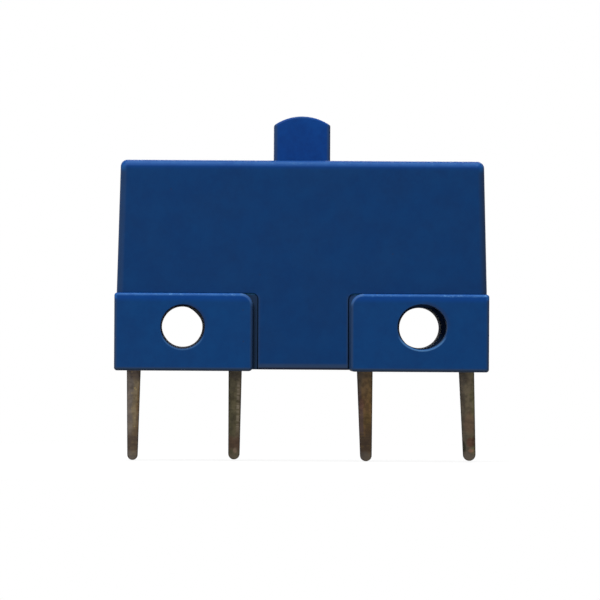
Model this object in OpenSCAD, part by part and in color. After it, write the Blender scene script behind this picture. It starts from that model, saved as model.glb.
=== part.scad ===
// Double-break snap action switch: a drafted cover over a base with two feet, a domed plunger, and four
// terminals that end in round-tipped prongs. The bridge inside joins the lower pair of contacts at rest
// and the upper pair when the plunger is pressed.
//
// +X is right, -Y is the front and +Z is up. The origin lies midway between the axes of the two fixing
// holes, at half the depth. All sizes are in millimetres and all angles in degrees.

/* [Housing] */
// Overall width, over the feet
body_w = 28; // [27:0.1:36]
// Overall depth, over the feet
body_d = 10.3; // [8.5:0.1:14]
// Height from the feet's underside to the top of the cover
body_h = 15.75; // [15:0.05:20]
// How far the feet stand out beyond the cover at the sides
ledge_side = 0.2; // [0.1:0.05:0.6]
// How far the feet stand out beyond the cover at the front and back
ledge_front = 0.4; // [0.1:0.05:0.8]
// Draft angle of the cover's outer faces
draft = 1.4; // [0:0.1:3]
// Thickness of the cover's walls at its top
wall = 1; // [0.6:0.05:1.4]
// Thickness of the cover's roof
roof = 1; // [0.6:0.05:1.4]
// Radius along the cover's top edge
top_edge_r = 0.5; // [0.2:0.05:0.9]
// Radius of the cover's upright outer corners
corner_r = 0.45; // [0.2:0.05:0.9]
// Radius of the upright corners inside the cover
cavity_r = 0.5; // [0.2:0.05:0.9]

/* [Feet] */
// Width of each foot
foot_w = 10.35; // [9.5:0.05:10.6]
// Height of each foot
foot_h = 5.8; // [5.3:0.05:7]
// Radius along the feet's outer edges
foot_edge_r = 0.2; // [0.05:0.05:0.4]
// Radius of each foot's upper corner beside the tongue
foot_corner_r = 0.6; // [0.2:0.05:1]
// Groove between the cover's tongue and each foot
tongue_gap = 0.33; // [0.1:0.01:0.6]
// How far the tongue and the web behind it end above the feet's underside
tongue_lift = 0.13; // [0.05:0.01:0.5]
// Height of the base's plug, which fills the mouth of the cover
plug_h = 1.8; // [1:0.05:2.2]
// Clearance between the plug and the cover
plug_fit = 0.05; // [0.02:0.01:0.1]
// Radius of the latch bead inside each tongue
bead_r = 0.25; // [0.15:0.05:0.35]
// Length of the latch bead
bead_l = 4; // [2:0.1:5]
// Height of the latch bead's middle above the tongue's lower end
bead_height = 1.6; // [1:0.1:2.4]

/* [Fixing holes] */
// Distance of each hole's axis from the outer side of its foot
hole_inset = 5.05; // [4.8:0.05:5.3]
// Height of the holes' axes above the feet's underside
hole_z = 3.3; // [2.6:0.05:3.4]
// Radius of both holes
hole_r = 1.55; // [1.2:0.05:1.6]
// Radius of the right hole's wider front part
entry_r = 1.76; // [1.65:0.01:1.85]
// Depth of the right hole's wider front part
entry_depth = 4.6; // [1:0.1:5]
// Width of the bevel at the holes' rims
rim_bevel = 0.1; // [0.05:0.01:0.2]

/* [Terminals] */
// Distance of the outer prongs' middle from the foot's outer side
outer_inset = 1.5; // [1.3:0.05:1.7]
// Distance of the inner prongs' middle from the foot's inner side
inner_inset = 1.25; // [1:0.05:1.5]
// Length of the prongs below the feet
prong_l = 6.75; // [4:0.05:10]
// Width of each prong where it leaves the foot, from left to right
prong_w = [1.03, 0.97, 1.16, 1.14]; // [0.8:0.01:1.4]
// Width of each prong just above its round tip, from left to right
prong_tip_w = [0.79, 0.86, 0.88, 0.95]; // [0.6:0.01:1]
// How far each prong's tip leans outwards, from left to right
prong_lean = [0.06, 0.06, 0.12, 0.24]; // [-0.3:0.01:0.3]
// Thickness of the terminals' sheet metal
sheet = 0.6; // [0.4:0.05:0.8]
// Inner radius of the terminals' bends
bend_r = 0.3; // [0.2:0.05:0.4]
// Clearance around the terminals in the base
slot_fit = 0.03; // [0.02:0.01:0.1]
// Depth of the terminals' contact plates
plate_d = 3.6; // [3:0.1:4.4]
// Radius of the contact plates' corners
plate_r = 0.5; // [0.2:0.05:0.8]
// Width of the cut that frees each bent leg from its plate
relief = 0.4; // [0.2:0.05:0.5]
// Sheet left around the fixed contacts
plate_margin = 0.15; // [0.05:0.01:0.4]
// Width of the outer terminals' legs inside the cover
leg_w = 1.2; // [1:0.05:1.3]
// Clearance between the outer terminals' legs and the cover's side walls
leg_gap = 0.25; // [0.1:0.05:0.4]
// Height of the outer terminals' shoulders, which the cover's rim holds down in the feet
shoulder_h = 1.1; // [0.8:0.05:1.3]

/* [Contacts] */
// How far the contacts lie outwards from the middle between the two prongs of a foot
contact_shift = 0.8; // [0.6:0.05:0.9]
// Radius of the fixed contacts
contact_r = 1.2; // [0.8:0.05:1.4]
// Height of the fixed contacts' heads
contact_h = 0.5; // [0.3:0.05:0.6]
// Radius of the fixed contacts' shanks
shank_r = 0.6; // [0.4:0.05:0.7]
// Radius of the tips on the bridge
tip_r = 1.1; // [0.8:0.05:1.3]
// Height of the tips on the bridge
tip_h = 0.45; // [0.3:0.05:0.6]
// Radius of the crown on contacts and tips
crown_r = 6; // [4:0.5:12]
// Air left between closed contacts
touch_gap = 0.05; // [0.02:0.01:0.1]
// How far the bridge rises when it snaps over
contact_travel = 0.9; // [0.6:0.05:1.1]

/* [Plunger] */
// Width of the plunger
plunger_w = 4.2; // [3.4:0.1:4.6]
// Depth of the plunger
plunger_d = 3.6; // [3:0.1:4.2]
// Height of the plunger above the cover at rest
plunger_rise = 3.35; // [2.6:0.05:5]
// Travel of the plunger
plunger_travel = 2.2; // [1.6:0.05:2.4]
// Radius of the plunger's domed top, seen from the front
dome_r = 3.65; // [3:0.05:12]
// Radius where the dome meets the plunger's sides
shoulder_r = 0.15; // [0.05:0.05:0.8]
// Radius of the plunger's upright edges
plunger_edge_r = 0.18; // [0.05:0.01:0.3]
// Radius along the front and back of the plunger's dome
plunger_top_r = 0.36; // [0.05:0.01:0.6]
// Clearance around the plunger in the roof
slide_fit = 0.1; // [0.05:0.01:0.2]
// Width of the flange that stops the plunger under the roof
flange_side = 0.8; // [0.5:0.05:1]
// Height of that flange
flange_h = 1; // [0.6:0.05:1.2]
// Width of the plunger's stem
stem_w = 3; // [2.6:0.1:3.2]
// Depth of the plunger's stem
stem_d = 2.6; // [2.2:0.1:2.8]
// Depth of the notches that hold the snap springs
notch_depth = 0.45; // [0.3:0.05:0.6]
// Stem left below the notches
stem_end = 1.5; // [1:0.05:2]

/* [Bridge] */
// Thickness of the bridge strip
bridge_t = 0.35; // [0.25:0.05:0.5]
// Clearance between the bridge's rails and the cover's front and back walls
bridge_gap = 0.5; // [0.3:0.05:0.7]
// Depth of the bridge at its ends
bridge_end_d = 2.8; // [2.4:0.1:3.2]
// Length of the window in the bridge
window_l = 10; // [8:0.1:10.5]
// Clearance between the window and the stem or spring that passes through it
window_gap = 0.2; // [0.1:0.05:0.3]
// Radius of the window's corners
window_r = 0.3; // [0.1:0.05:0.4]
// Strip left between the window and the shoulders where the bridge gets narrower
rail_end = 0.7; // [0.4:0.05:1]
// Length of those shoulders
neck_l = 1; // [0.6:0.1:1.4]
// Radius of the bridge's outer corners
strip_r = 0.6; // [0.2:0.05:0.7]
// Strip left around the tips
tip_margin = 0.08; // [0.02:0.01:0.2]

/* [Springs] */
// How far the notches stand above the bridge at rest
notch_rise = 1.65; // [1.3:0.05:1.8]
// Thickness of the snap springs
snap_t = 0.15; // [0.1:0.01:0.2]
// Depth of the snap springs
snap_d = 2; // [1.4:0.1:2.4]
// How far the snap springs bow out
snap_bow = 0.8; // [0.4:0.05:1]
// Clearance at both ends of the snap springs
snap_fit = 0.03; // [0.01:0.01:0.06]
// Wire thickness of the return spring
wire = 0.4; // [0.3:0.02:0.44]
// Middle radius of the return spring
coil_r = 1.5; // [1.4:0.05:1.6]
// Number of turns of the return spring
turns = 8; // [6:1:9]
// Pitch of the return spring's closed end turns, as a share of the wire's thickness
closed_pitch = 1.1; // [1.05:0.01:1.2]
// Length that the return spring has left before it closes, with the plunger down
spring_reserve = 2; // [1.4:0.1:2.4]
// Clearance between the return spring and its well in the base
well_gap = 0.5; // [0.3:0.05:0.6]
// Clearance between the return spring and the spigots inside it
spigot_gap = 0.2; // [0.1:0.05:0.3]
// Height of those spigots
spigot_h = 1.2; // [0.8:0.05:1.4]

/* [Hidden] */
$fn = 48;

// Levels, from the bottom up
foot_z0 = -hole_z;
foot_z1 = foot_z0 + foot_h;
tongue_z0 = foot_z0 + tongue_lift;
body_z1 = foot_z0 + body_h;
roof_z0 = body_z1 - roof;
tip_z = foot_z0 - prong_l;
plug_z1 = foot_z1 + plug_h;
nc_plate_z = plug_z1;
nc_face_z = nc_plate_z + sheet + contact_h;
bridge_z = nc_face_z + touch_gap + tip_h;
no_face_z = bridge_z + bridge_t + tip_h + contact_travel + touch_gap;
no_plate_z = no_face_z + contact_h;
notch_z = bridge_z + bridge_t / 2 + notch_rise;
stem_z0 = notch_z - stem_end;
flange_z1 = roof_z0 - slide_fit;
apex_z = body_z1 + plunger_rise;
well_z = stem_z0 - plunger_travel - turns * closed_pitch * wire - spring_reserve;
bead_z = tongue_z0 + bead_height;

// Plan sizes
foot_x = body_w / 2 - foot_w;
hole_x = body_w / 2 - hole_inset;
cover_w = body_w - 2 * ledge_side;
cover_d = body_d - 2 * ledge_front;
draft_run = (body_z1 - foot_z1) * tan(draft);
cavity_w = cover_w - 2 * draft_run - 2 * wall;
cavity_d = cover_d - 2 * draft_run - 2 * wall;
tongue_w = 2 * (foot_x - tongue_gap);
web_d = cavity_d - 2 * plug_fit;
outer_x = body_w / 2 - outer_inset;
inner_x = foot_x + inner_inset;
leg_x1 = cavity_w / 2 - leg_gap;
leg_x0 = leg_x1 - leg_w;
contact_x = (outer_x + inner_x) / 2 + contact_shift;
flat_y = sheet / 2 + bend_r;
bridge_l = 2 * (contact_x + tip_r + tip_margin);
bridge_d = cavity_d - 2 * bridge_gap;
window_d = max(stem_d, 2 * coil_r + wire) + 2 * window_gap;
well_r = coil_r + wire / 2 + well_gap;
spigot_r = coil_r - wire / 2 - spigot_gap;

// Steps used for round stretches of outlines
arc_steps = 5;
dome_steps = 16;
tip_steps = 12;
bow_steps = 20;
// Slabs whose common part is the cover's drafted outside
corner_slabs = 8;
// Reach of cuts past the faces that they open
over = 1;

// Colours
blue = [0.09, 0.23, 0.42];
button_blue = [0.08, 0.24, 0.48];
tinned = [0.42, 0.37, 0.30];
silver = [0.80, 0.79, 0.76];
spring_steel = [0.62, 0.63, 0.65];
copper = [0.72, 0.47, 0.30];

// Unit vector along v
function unit(v) = v / norm(v);

// Points of an arc around a centre, from angle a0 to a1
function arc(centre, r, a0, a1, steps = arc_steps) =
    [for (i = [0:steps]) let (a = a0 + (a1 - a0) * i / steps) centre + r * [cos(a), sin(a)]];

// Points that replace corner b, between a and c, by an arc of radius r that touches both sides
function round_corner(a, b, c, r) =
    r == 0 ? [b] :
    let (u = unit(a - b), v = unit(c - b), half = acos(u * v) / 2,
         centre = b + unit(u + v) * r / sin(half),
         from = b + u * r / tan(half) - centre, to = b + v * r / tan(half) - centre,
         a0 = atan2(from[1], from[0]), a1 = atan2(to[1], to[0]),
         turn = (a1 - a0 + 540) % 360 - 180)
    arc(centre, r, a0, a0 + turn);

// Outline with each corner rounded by its own radius
function rounded(points, radii) =
    let (n = len(points))
    [for (i = [0:n - 1])
        each round_corner(points[(i + n - 1) % n], points[i], points[(i + 1) % n], radii[i])];

// Corners of a rectangle, counter-clockwise from its lowest corner
function corners(x0, y0, x1, y1) = [[x0, y0], [x1, y0], [x1, y1], [x0, y1]];

// Outline of a rectangle with four equal round corners
function round_rect(x0, y0, x1, y1, r) = rounded(corners(x0, y0, x1, y1), [r, r, r, r]);

// Upright slab: the outline is drawn in X and Z and runs through from y0 to y1
module front_prism(points, y0, y1)
    translate([0, y1, 0]) rotate([90, 0, 0]) linear_extrude(y1 - y0) polygon(points);

// Upright slab: the outline is drawn in Y and Z and runs through from x0 to x1
module side_prism(points, x0, x1)
    translate([x0, 0, 0]) rotate([90, 0, 90]) linear_extrude(x1 - x0) polygon(points);

// Level slab: the outline is drawn in X and Y and runs from z0 to z1
module plan_prism(points, z0, z1) translate([0, 0, z0]) linear_extrude(z1 - z0) polygon(points);

// Block between two corners
module block(low, high) translate(low) cube(high - low);

// Cylinder along Y between y0 and y1
module bore_y(x, z, r, y0, y1) translate([x, y1, z]) rotate([90, 0, 0]) cylinder(r = r, h = y1 - y0);

// Block with drafted sides, round upright corners and a round top edge. It is the common part of slabs
// turned about Z, each as wide as the block is in that direction; w and d hold at level z_ref.
module drafted_block(w, d, z_ref, z0, z1)
    intersection_for (i = [0:corner_slabs - 1])
        let (a = 180 * i / corner_slabs)
        rotate([0, 0, a])
            front_prism(drafted_slab(w, d, z_ref, z0, z1, abs(cos(a)), abs(sin(a))), -w, w);

// Outline of one such slab, for a direction with these shares along X and Y
function drafted_slab(w, d, z_ref, z0, z1, along_x, along_y) =
    let (reach = function (z)
            let (run = (z - z_ref) * tan(draft) + corner_r)
            (w / 2 - run) * along_x + (d / 2 - run) * along_y + corner_r)
    rounded([[-reach(z0), z0], [reach(z0), z0], [reach(z1), z1], [-reach(z1), z1]],
            [0, 0, top_edge_r, top_edge_r]);

// Does its children for the right half and mirrored for the left half
module both_sides() {
    children();
    mirror([1, 0, 0]) children();
}

// Cover: drafted cap, open below, whose front and back run down as tongues between the feet
module cover() color(blue) {
    difference() {
        drafted_block(cover_w, cover_d, foot_z1, tongue_z0, body_z1);
        plan_prism(round_rect(-cavity_w / 2, -cavity_d / 2, cavity_w / 2, cavity_d / 2, cavity_r),
                   tongue_z0 - over, roof_z0);
        both_sides() front_prism(
            rounded(corners(tongue_w / 2, tongue_z0 - over, body_w, foot_z1), [0, 0, 0, foot_corner_r]),
            -body_d, body_d);
        plan_prism(round_rect(-plunger_w / 2 - slide_fit, -plunger_d / 2 - slide_fit,
                              plunger_w / 2 + slide_fit, plunger_d / 2 + slide_fit,
                              plunger_edge_r + slide_fit),
                   roof_z0 - over, body_z1 + over);
    }
    for (side = [-1, 1]) latch_bead(side, bead_r, bead_l);
}

// Half-round bead on a tongue's inner face; the base's groove is the same shape with clearance
module latch_bead(side, r, length)
    intersection() {
        translate([-length / 2, side * cavity_d / 2, bead_z]) rotate([0, 90, 0])
            cylinder(r = r, h = length);
        block([-length, -cavity_d / 2 - plug_fit, bead_z - 2 * r],
              [length, cavity_d / 2 + plug_fit, bead_z + 2 * r]);
    }

// Base: two feet joined by a web, with a plug that fills the cover's mouth
module base() color(blue) difference() {
    union() {
        both_sides() foot();
        block([-foot_x - over, -web_d / 2, tongue_z0], [foot_x + over, web_d / 2, foot_z1]);
        plan_prism(round_rect(-cavity_w / 2 + plug_fit, -web_d / 2, cavity_w / 2 - plug_fit, web_d / 2,
                              cavity_r - plug_fit), foot_z1 - over, plug_z1);
    }
    fixing_hole(-1, hole_r, body_d);
    fixing_hole(1, entry_r, entry_depth);
    terminal_slots(3, 2);
    mirror([1, 0, 0]) terminal_slots(0, 1);
    translate([0, 0, well_z]) difference() {
        cylinder(r = well_r, h = body_h);
        translate([0, 0, -over]) cylinder(r = spigot_r, h = spigot_h + over);
    }
    for (side = [-1, 1]) latch_bead(side, bead_r + plug_fit, bead_l + 2 * plug_fit);
}

// Right foot: block with small round edges and a larger radius beside the tongue
module foot() intersection() {
    front_prism(rounded(corners(foot_x, foot_z0, body_w / 2, foot_z1),
                        [foot_edge_r, foot_edge_r, foot_edge_r, foot_corner_r]), -body_d, body_d);
    side_prism(round_rect(-body_d / 2, foot_z0, body_d / 2, foot_z1, foot_edge_r), 0, body_w);
    plan_prism(round_rect(foot_x, -body_d / 2, body_w / 2, body_d / 2, foot_edge_r),
               foot_z0 - over, body_z1);
}

// Fixing hole with bevelled rims, and a wider part from the front face to the given depth
module fixing_hole(side, front_r, front_depth) {
    x = side * hole_x;
    bore_y(x, 0, hole_r, -body_d / 2 - over, body_d / 2 + over);
    if (front_depth < body_d) bore_y(x, 0, front_r, -body_d / 2 - over, -body_d / 2 + front_depth);
    rim(x, front_depth < body_d ? front_r : hole_r, -1);
    rim(x, hole_r, 1);
}

// Bevel around a hole's rim on the front (-1) or the back (1) face
module rim(x, r, side)
    translate([x, side * (body_d / 2 - rim_bevel), 0]) rotate([-90 * side, 0, 0])
        cylinder(r1 = r, r2 = r + 2 * rim_bevel, h = 2 * rim_bevel);

// Slots for a right foot's outer and inner terminal, open to the top. Each is as wide as its prong with the
// lean, so that the terminal drops in.
module terminal_slots(outer, inner) {
    y = sheet / 2 + slot_fit;
    outer_x1 = outer_x + prong_reach(outer, 1) + slot_fit;
    inner_x0 = inner_x - prong_reach(inner, -1) - slot_fit;
    inner_x1 = inner_x + prong_reach(inner, 1) + slot_fit;
    block([outer_x - prong_reach(outer, -1) - slot_fit, -y, foot_z0 - over], [outer_x1, y, plug_z1 + over]);
    block([leg_x0 - slot_fit, -y, foot_z1 - shoulder_h - slot_fit], [outer_x1, y, plug_z1 + over]);
    block([inner_x0, -y, foot_z0 - over], [inner_x1, y, plug_z1 + over]);
    block([inner_x0, -y, plug_z1 - bend_r - slot_fit], [inner_x1, flat_y + slot_fit, plug_z1 + over]);
}

// How far prong i reaches from its middle line, outwards (1) or inwards (-1)
function prong_reach(i, side) = max(prong_w[i] / 2, side * prong_lean[i] + prong_tip_w[i] / 2);

// Bent strip as seen from the side: it rises at y = 0 and turns to +Y at the contact plate's level
function bent_strip(plate_z) =
    let (centre = [flat_y, plate_z - bend_r])
    [[-sheet / 2, tip_z - over], [sheet / 2, tip_z - over],
     each arc(centre, bend_r, 180, 90),
     [flat_y + over, plate_z], [flat_y + over, plate_z + sheet],
     each arc(centre, bend_r + sheet, 90, 180)];

// Prong outline below the foot: it narrows and leans towards a full round tip
function prong_edge(x, i) =
    [[x - prong_w[i] / 2, foot_z0],
     each arc([x + prong_lean[i], tip_z + prong_tip_w[i] / 2], prong_tip_w[i] / 2, 180, 360, tip_steps),
     [x + prong_w[i] / 2, foot_z0]];

// Outline of a contact plate from above: the leg is folded down out of its edge, between x0 and x1, and a
// relief cut frees it from the main part, which ends at far_x
function plate_outline(x0, x1, far_x) =
    let (out = sign(far_x - x0), near = out > 0 ? x0 : x1, free = (out > 0 ? x1 : x0) + out * relief,
         points = [[near, flat_y], [free, flat_y], [free, -plate_d / 2], [far_x, -plate_d / 2],
                   [far_x, plate_d / 2], [near, plate_d / 2]])
    rounded(points, [0, 0, plate_r, plate_r, plate_r, 0]);

// Terminal of the right half: bent leg and prong cut to the given front outline, and the plate on top
module terminal(edge, x0, x1, far_x, plate_z) color(tinned) {
    intersection() {
        side_prism(bent_strip(plate_z), 0, body_w);
        front_prism(edge, -body_d, flat_y);
    }
    difference() {
        plan_prism(plate_outline(x0, x1, far_x), plate_z, plate_z + sheet);
        translate([contact_x, 0, plate_z - over]) cylinder(r = shank_r, h = sheet + 2 * over);
    }
}

// Inner terminal of the right half: its plate lies on the base's plug and carries a lower contact
module terminal_nc(i) {
    x0 = inner_x - prong_w[i] / 2;
    x1 = inner_x + prong_w[i] / 2;
    top = nc_plate_z + sheet + over;
    terminal(concat(prong_edge(inner_x, i), [[x1, top], [x0, top]]), x0, x1,
             contact_x + contact_r + plate_margin, nc_plate_z);
}

// Outer terminal of the right half: its shoulder sits in the foot, its leg stands beside the bridge's end
// and its plate reaches over the bridge
module terminal_no(i) {
    top = no_plate_z + sheet + over;
    seat = foot_z1 - shoulder_h;
    x1 = outer_x + prong_w[i] / 2;
    inner_side = outer_x - prong_w[i] / 2;
    terminal(concat(prong_edge(outer_x, i),
                    [[x1, foot_z1], [leg_x1, foot_z1], [leg_x1, top], [leg_x0, top],
                     [leg_x0, seat], [inner_side, seat]]),
             leg_x0, leg_x1, contact_x - contact_r - plate_margin, no_plate_z);
}

// Disc with a slightly crowned face on top
module crowned_disc(r, h) intersection() {
    cylinder(r = r, h = h);
    translate([0, 0, h - crown_r]) sphere(r = crown_r, $fn = 96);
}

// Fixed contact of the right half: head on the plate's face, shank through the plate
module fixed_contact(plate_z, up) color(silver)
    translate([contact_x, 0, up ? plate_z : plate_z + sheet]) mirror([0, 0, up ? 0 : 1]) {
        translate([0, 0, sheet]) crowned_disc(contact_r, contact_h);
        cylinder(r = shank_r, h = sheet + contact_h / 2);
    }

// Tip of the right half, on the bridge's upper or lower face
module bridge_tip(up) color(silver)
    translate([contact_x, 0, up ? bridge_z + bridge_t : bridge_z]) mirror([0, 0, up ? 0 : 1])
        crowned_disc(tip_r, tip_h);

// Contact bridge: flat strip with narrower ends and a window around the plunger's stem
module contact_bridge() color(copper) difference() {
    plan_prism(rounded(bridge_corners(), [for (i = [0:11]) strip_r]), bridge_z, bridge_z + bridge_t);
    plan_prism(round_rect(-window_l / 2, -window_d / 2, window_l / 2, window_d / 2, window_r),
               bridge_z - over, bridge_z + bridge_t + over);
}

// Corners of the bridge strip, counter-clockwise
function bridge_corners() =
    let (x = bridge_l / 2, y = bridge_end_d / 2, wide_x = window_l / 2 + rail_end, wide_y = bridge_d / 2,
         neck_x = wide_x + neck_l)
    [[x, -y], [x, y], [neck_x, y], [wide_x, wide_y], [-wide_x, wide_y], [-neck_x, y],
     [-x, y], [-x, -y], [-neck_x, -y], [-wide_x, -wide_y], [wide_x, -wide_y], [neck_x, -y]];

// Plunger: domed button, stop flange under the roof, and a stem with notches for the snap springs
module plunger() color(button_blue) difference() {
    union() {
        intersection() {
            front_prism(domed_outline(flange_z1 - flange_h), -body_d, body_d);
            side_prism(round_rect(-plunger_d / 2, flange_z1 - flange_h, plunger_d / 2, apex_z,
                                  plunger_top_r), -body_w, body_w);
            plan_prism(round_rect(-plunger_w / 2, -plunger_d / 2, plunger_w / 2, plunger_d / 2,
                                  plunger_edge_r), foot_z0, apex_z + over);
        }
        block([-plunger_w / 2 - flange_side, -plunger_d / 2 - flange_side, flange_z1 - flange_h],
              [plunger_w / 2 + flange_side, plunger_d / 2 + flange_side, flange_z1]);
        block([-stem_w / 2, -stem_d / 2, stem_z0], [stem_w / 2, stem_d / 2, flange_z1 - flange_h / 2]);
        translate([0, 0, stem_z0 - spigot_h]) cylinder(r = spigot_r, h = spigot_h + over);
    }
    both_sides() front_prism([[stem_w / 2 - notch_depth, notch_z],
                              [stem_w / 2 + over, notch_z - notch_depth - over],
                              [stem_w / 2 + over, notch_z + notch_depth + over]], -body_d, body_d);
}

// Front outline of the button: straight sides, small shoulders and a wide dome
function domed_outline(z0) =
    let (dome = [0, apex_z - dome_r], cx = plunger_w / 2 - shoulder_r,
         cz = dome[1] + sqrt(pow(dome_r - shoulder_r, 2) - cx * cx), a = atan2(cz - dome[1], cx))
    [[plunger_w / 2, z0], each arc([cx, cz], shoulder_r, 0, a),
     each arc(dome, dome_r, a, 180 - a, dome_steps),
     each arc([-cx, cz], shoulder_r, 180 - a, 180), [-plunger_w / 2, z0]];

// Snap spring of the right half: leaf bowed upwards between the notch and the end of the window
module snap_spring() color(spring_steel) {
    from = [stem_w / 2 - notch_depth + snap_fit + snap_t / 2, notch_z];
    to = [window_l / 2 - snap_fit - snap_t / 2, bridge_z + bridge_t / 2];
    chord = norm(to - from);
    r = (chord * chord / 4 + snap_bow * snap_bow) / (2 * snap_bow);
    across = unit([from[1] - to[1], to[0] - from[0]]);
    centre = (from + to) / 2 - across * (r - snap_bow);
    a0 = atan2(from[1] - centre[1], from[0] - centre[0]);
    a1 = atan2(to[1] - centre[1], to[0] - centre[0]);
    front_prism(concat(arc(centre, r - snap_t / 2, a1, a0, bow_steps),
                       arc(centre, r + snap_t / 2, a0, a1, bow_steps)), -snap_d / 2, snap_d / 2);
}

// Height of the return spring's wire after s turns: one closed turn at each end, even pitch between
function coil_rise(s, height) =
    let (closed = closed_pitch * wire, open = (height - 2 * closed) / (turns - 2))
    s < 1 ? closed * s : s > turns - 1 ? height - closed * (turns - s) : closed + open * (s - 1);

// Return spring: round wire swept along its turns, from the well's floor to the stem
module return_spring() color(spring_steel) {
    per_turn = 16;
    sides = 6;
    n = turns * per_turn;
    height = stem_z0 - well_z - wire;
    points = [for (i = [0:n]) let (a = 360 * i / per_turn, z = coil_rise(i / per_turn, height))
              for (k = [0:sides - 1]) let (b = 360 * k / sides, r = coil_r + wire / 2 * cos(b))
              [r * cos(a), r * sin(a), well_z + wire / 2 + z + wire / 2 * sin(b)]];
    walls = [for (i = [0:n - 1], k = [0:sides - 1]) let (m = (k + 1) % sides)
             [i * sides + k, i * sides + m, (i + 1) * sides + m, (i + 1) * sides + k]];
    ends = [[for (k = [sides - 1:-1:0]) k], [for (k = [0:sides - 1]) n * sides + k]];
    polyhedron(points, concat(walls, ends));
}

cover();
base();
plunger();
return_spring();
contact_bridge();
mirror([1, 0, 0]) bridge_tip(false);  // tip_left_lower
mirror([1, 0, 0]) bridge_tip(true);  // tip_left_upper
bridge_tip(false);  // tip_right_lower
bridge_tip(true);  // tip_right_upper
mirror([1, 0, 0]) snap_spring();  // snap_spring_left
snap_spring();  // snap_spring_right
mirror([1, 0, 0]) terminal_no(0);  // terminal_no_left
mirror([1, 0, 0]) terminal_nc(1);  // terminal_nc_left
terminal_nc(2);  // terminal_nc_right
terminal_no(3);  // terminal_no_right
mirror([1, 0, 0]) fixed_contact(no_plate_z, false);  // contact_no_left
mirror([1, 0, 0]) fixed_contact(nc_plate_z, true);  // contact_nc_left
fixed_contact(nc_plate_z, true);  // contact_nc_right
fixed_contact(no_plate_z, false);  // contact_no_right
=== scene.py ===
"""Looks of a small snap action switch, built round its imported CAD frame.

All modelling is done in millimetres on the frame's own axes: +X is right, -Y is the front and +Z is up. A
finished piece is brought to metres with its place in its mesh.
"""

from __future__ import annotations

import logging
import math
from collections.abc import Callable, Sequence
from dataclasses import dataclass
from enum import Enum
from typing import TypeAlias

import bmesh
import bpy
from mathutils import Matrix, Vector

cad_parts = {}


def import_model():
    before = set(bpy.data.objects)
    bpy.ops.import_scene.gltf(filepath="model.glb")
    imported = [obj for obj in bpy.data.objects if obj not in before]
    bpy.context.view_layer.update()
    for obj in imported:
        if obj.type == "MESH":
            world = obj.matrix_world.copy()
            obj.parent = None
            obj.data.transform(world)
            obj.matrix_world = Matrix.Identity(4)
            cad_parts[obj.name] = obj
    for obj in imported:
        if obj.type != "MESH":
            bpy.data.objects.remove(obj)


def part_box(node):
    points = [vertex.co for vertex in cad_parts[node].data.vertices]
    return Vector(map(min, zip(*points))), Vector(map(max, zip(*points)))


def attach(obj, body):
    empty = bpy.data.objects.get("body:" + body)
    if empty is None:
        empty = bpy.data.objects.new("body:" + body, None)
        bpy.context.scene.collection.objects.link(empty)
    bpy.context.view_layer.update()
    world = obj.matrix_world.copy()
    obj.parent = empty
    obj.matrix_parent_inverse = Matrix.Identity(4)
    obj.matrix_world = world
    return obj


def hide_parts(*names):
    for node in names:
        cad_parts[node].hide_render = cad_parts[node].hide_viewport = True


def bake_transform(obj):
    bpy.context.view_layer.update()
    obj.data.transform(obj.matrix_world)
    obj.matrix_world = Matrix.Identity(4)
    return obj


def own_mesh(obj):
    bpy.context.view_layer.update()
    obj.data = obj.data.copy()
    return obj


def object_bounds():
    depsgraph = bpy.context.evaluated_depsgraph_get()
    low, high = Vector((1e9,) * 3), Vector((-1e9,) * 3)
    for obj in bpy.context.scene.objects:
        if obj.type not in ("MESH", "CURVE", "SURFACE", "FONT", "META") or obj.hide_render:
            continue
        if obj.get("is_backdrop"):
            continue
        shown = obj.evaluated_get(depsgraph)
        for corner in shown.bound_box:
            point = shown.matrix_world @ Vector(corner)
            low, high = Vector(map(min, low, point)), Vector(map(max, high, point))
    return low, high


LOG = logging.getLogger("switch")

MM = 0.001  # metres in a millimetre
SIDES = 96  # sides of a round bore or rod
SLACK = 0.004  # difference below which two lengths are the same
HAIR = 0.01  # least margin round a selection or past a cut
DOUBLED = 0.0001  # distance below which two vertices are the same
SLIVER = 0.002  # size below which an edge is only a leftover of cutting
ALONG = 0.9  # part of a unit direction above which it runs along an axis
FLAT_ANGLE = math.radians(0.05)  # faces that meet at less than this are one flat face
SHARP_ANGLE = math.radians(50)  # faces that meet at more than this have a sharp edge
SMOOTH_ANGLE = math.radians(32)  # faces that meet at less than this are shaded as one

Span: TypeAlias = tuple[float, float]
Point: TypeAlias = tuple[float, float, float]
Band: TypeAlias = tuple[float, float, float, float]
Colour: TypeAlias = tuple[float, float, float]
Test: TypeAlias = Callable[[Vector, Vector], bool]
Value: TypeAlias = "Field | Point | float"
Inputs: TypeAlias = dict[str | int, Value]


class Element(Enum):
    """Kinds of mesh element that a selection may pick."""

    VERTEX = "VERT"
    EDGE = "EDGE"
    FACE = "FACE"


class Cut(Enum):
    """Ways to combine two workpieces."""

    AWAY = "DIFFERENCE"
    JOIN = "UNION"


class Side(Enum):
    """Halves of the switch, as the sign of X."""

    LEFT = -1
    RIGHT = 1

    @property
    def half(self) -> str:
        """Name of the half, as pieces and nodes have it."""
        return self.name.lower()


class Throw(Enum):
    """Throws of the switch: closed at rest, or open until it is pressed."""

    CLOSED = "nc"
    OPEN = "no"


class Body(Enum):
    """Bodies of the frame that pieces ride on."""

    CASE = "case"
    PLUNGER = "plunger"
    BRIDGE = "bridge"


# ---------------------------------------------------------------------------------------------------------
# Modelling
# ---------------------------------------------------------------------------------------------------------


def near(a: float, b: float, slack: float = SLACK) -> bool:
    """Tells whether two lengths in millimetres are the same, within a slack."""
    return abs(a - b) < slack


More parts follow.
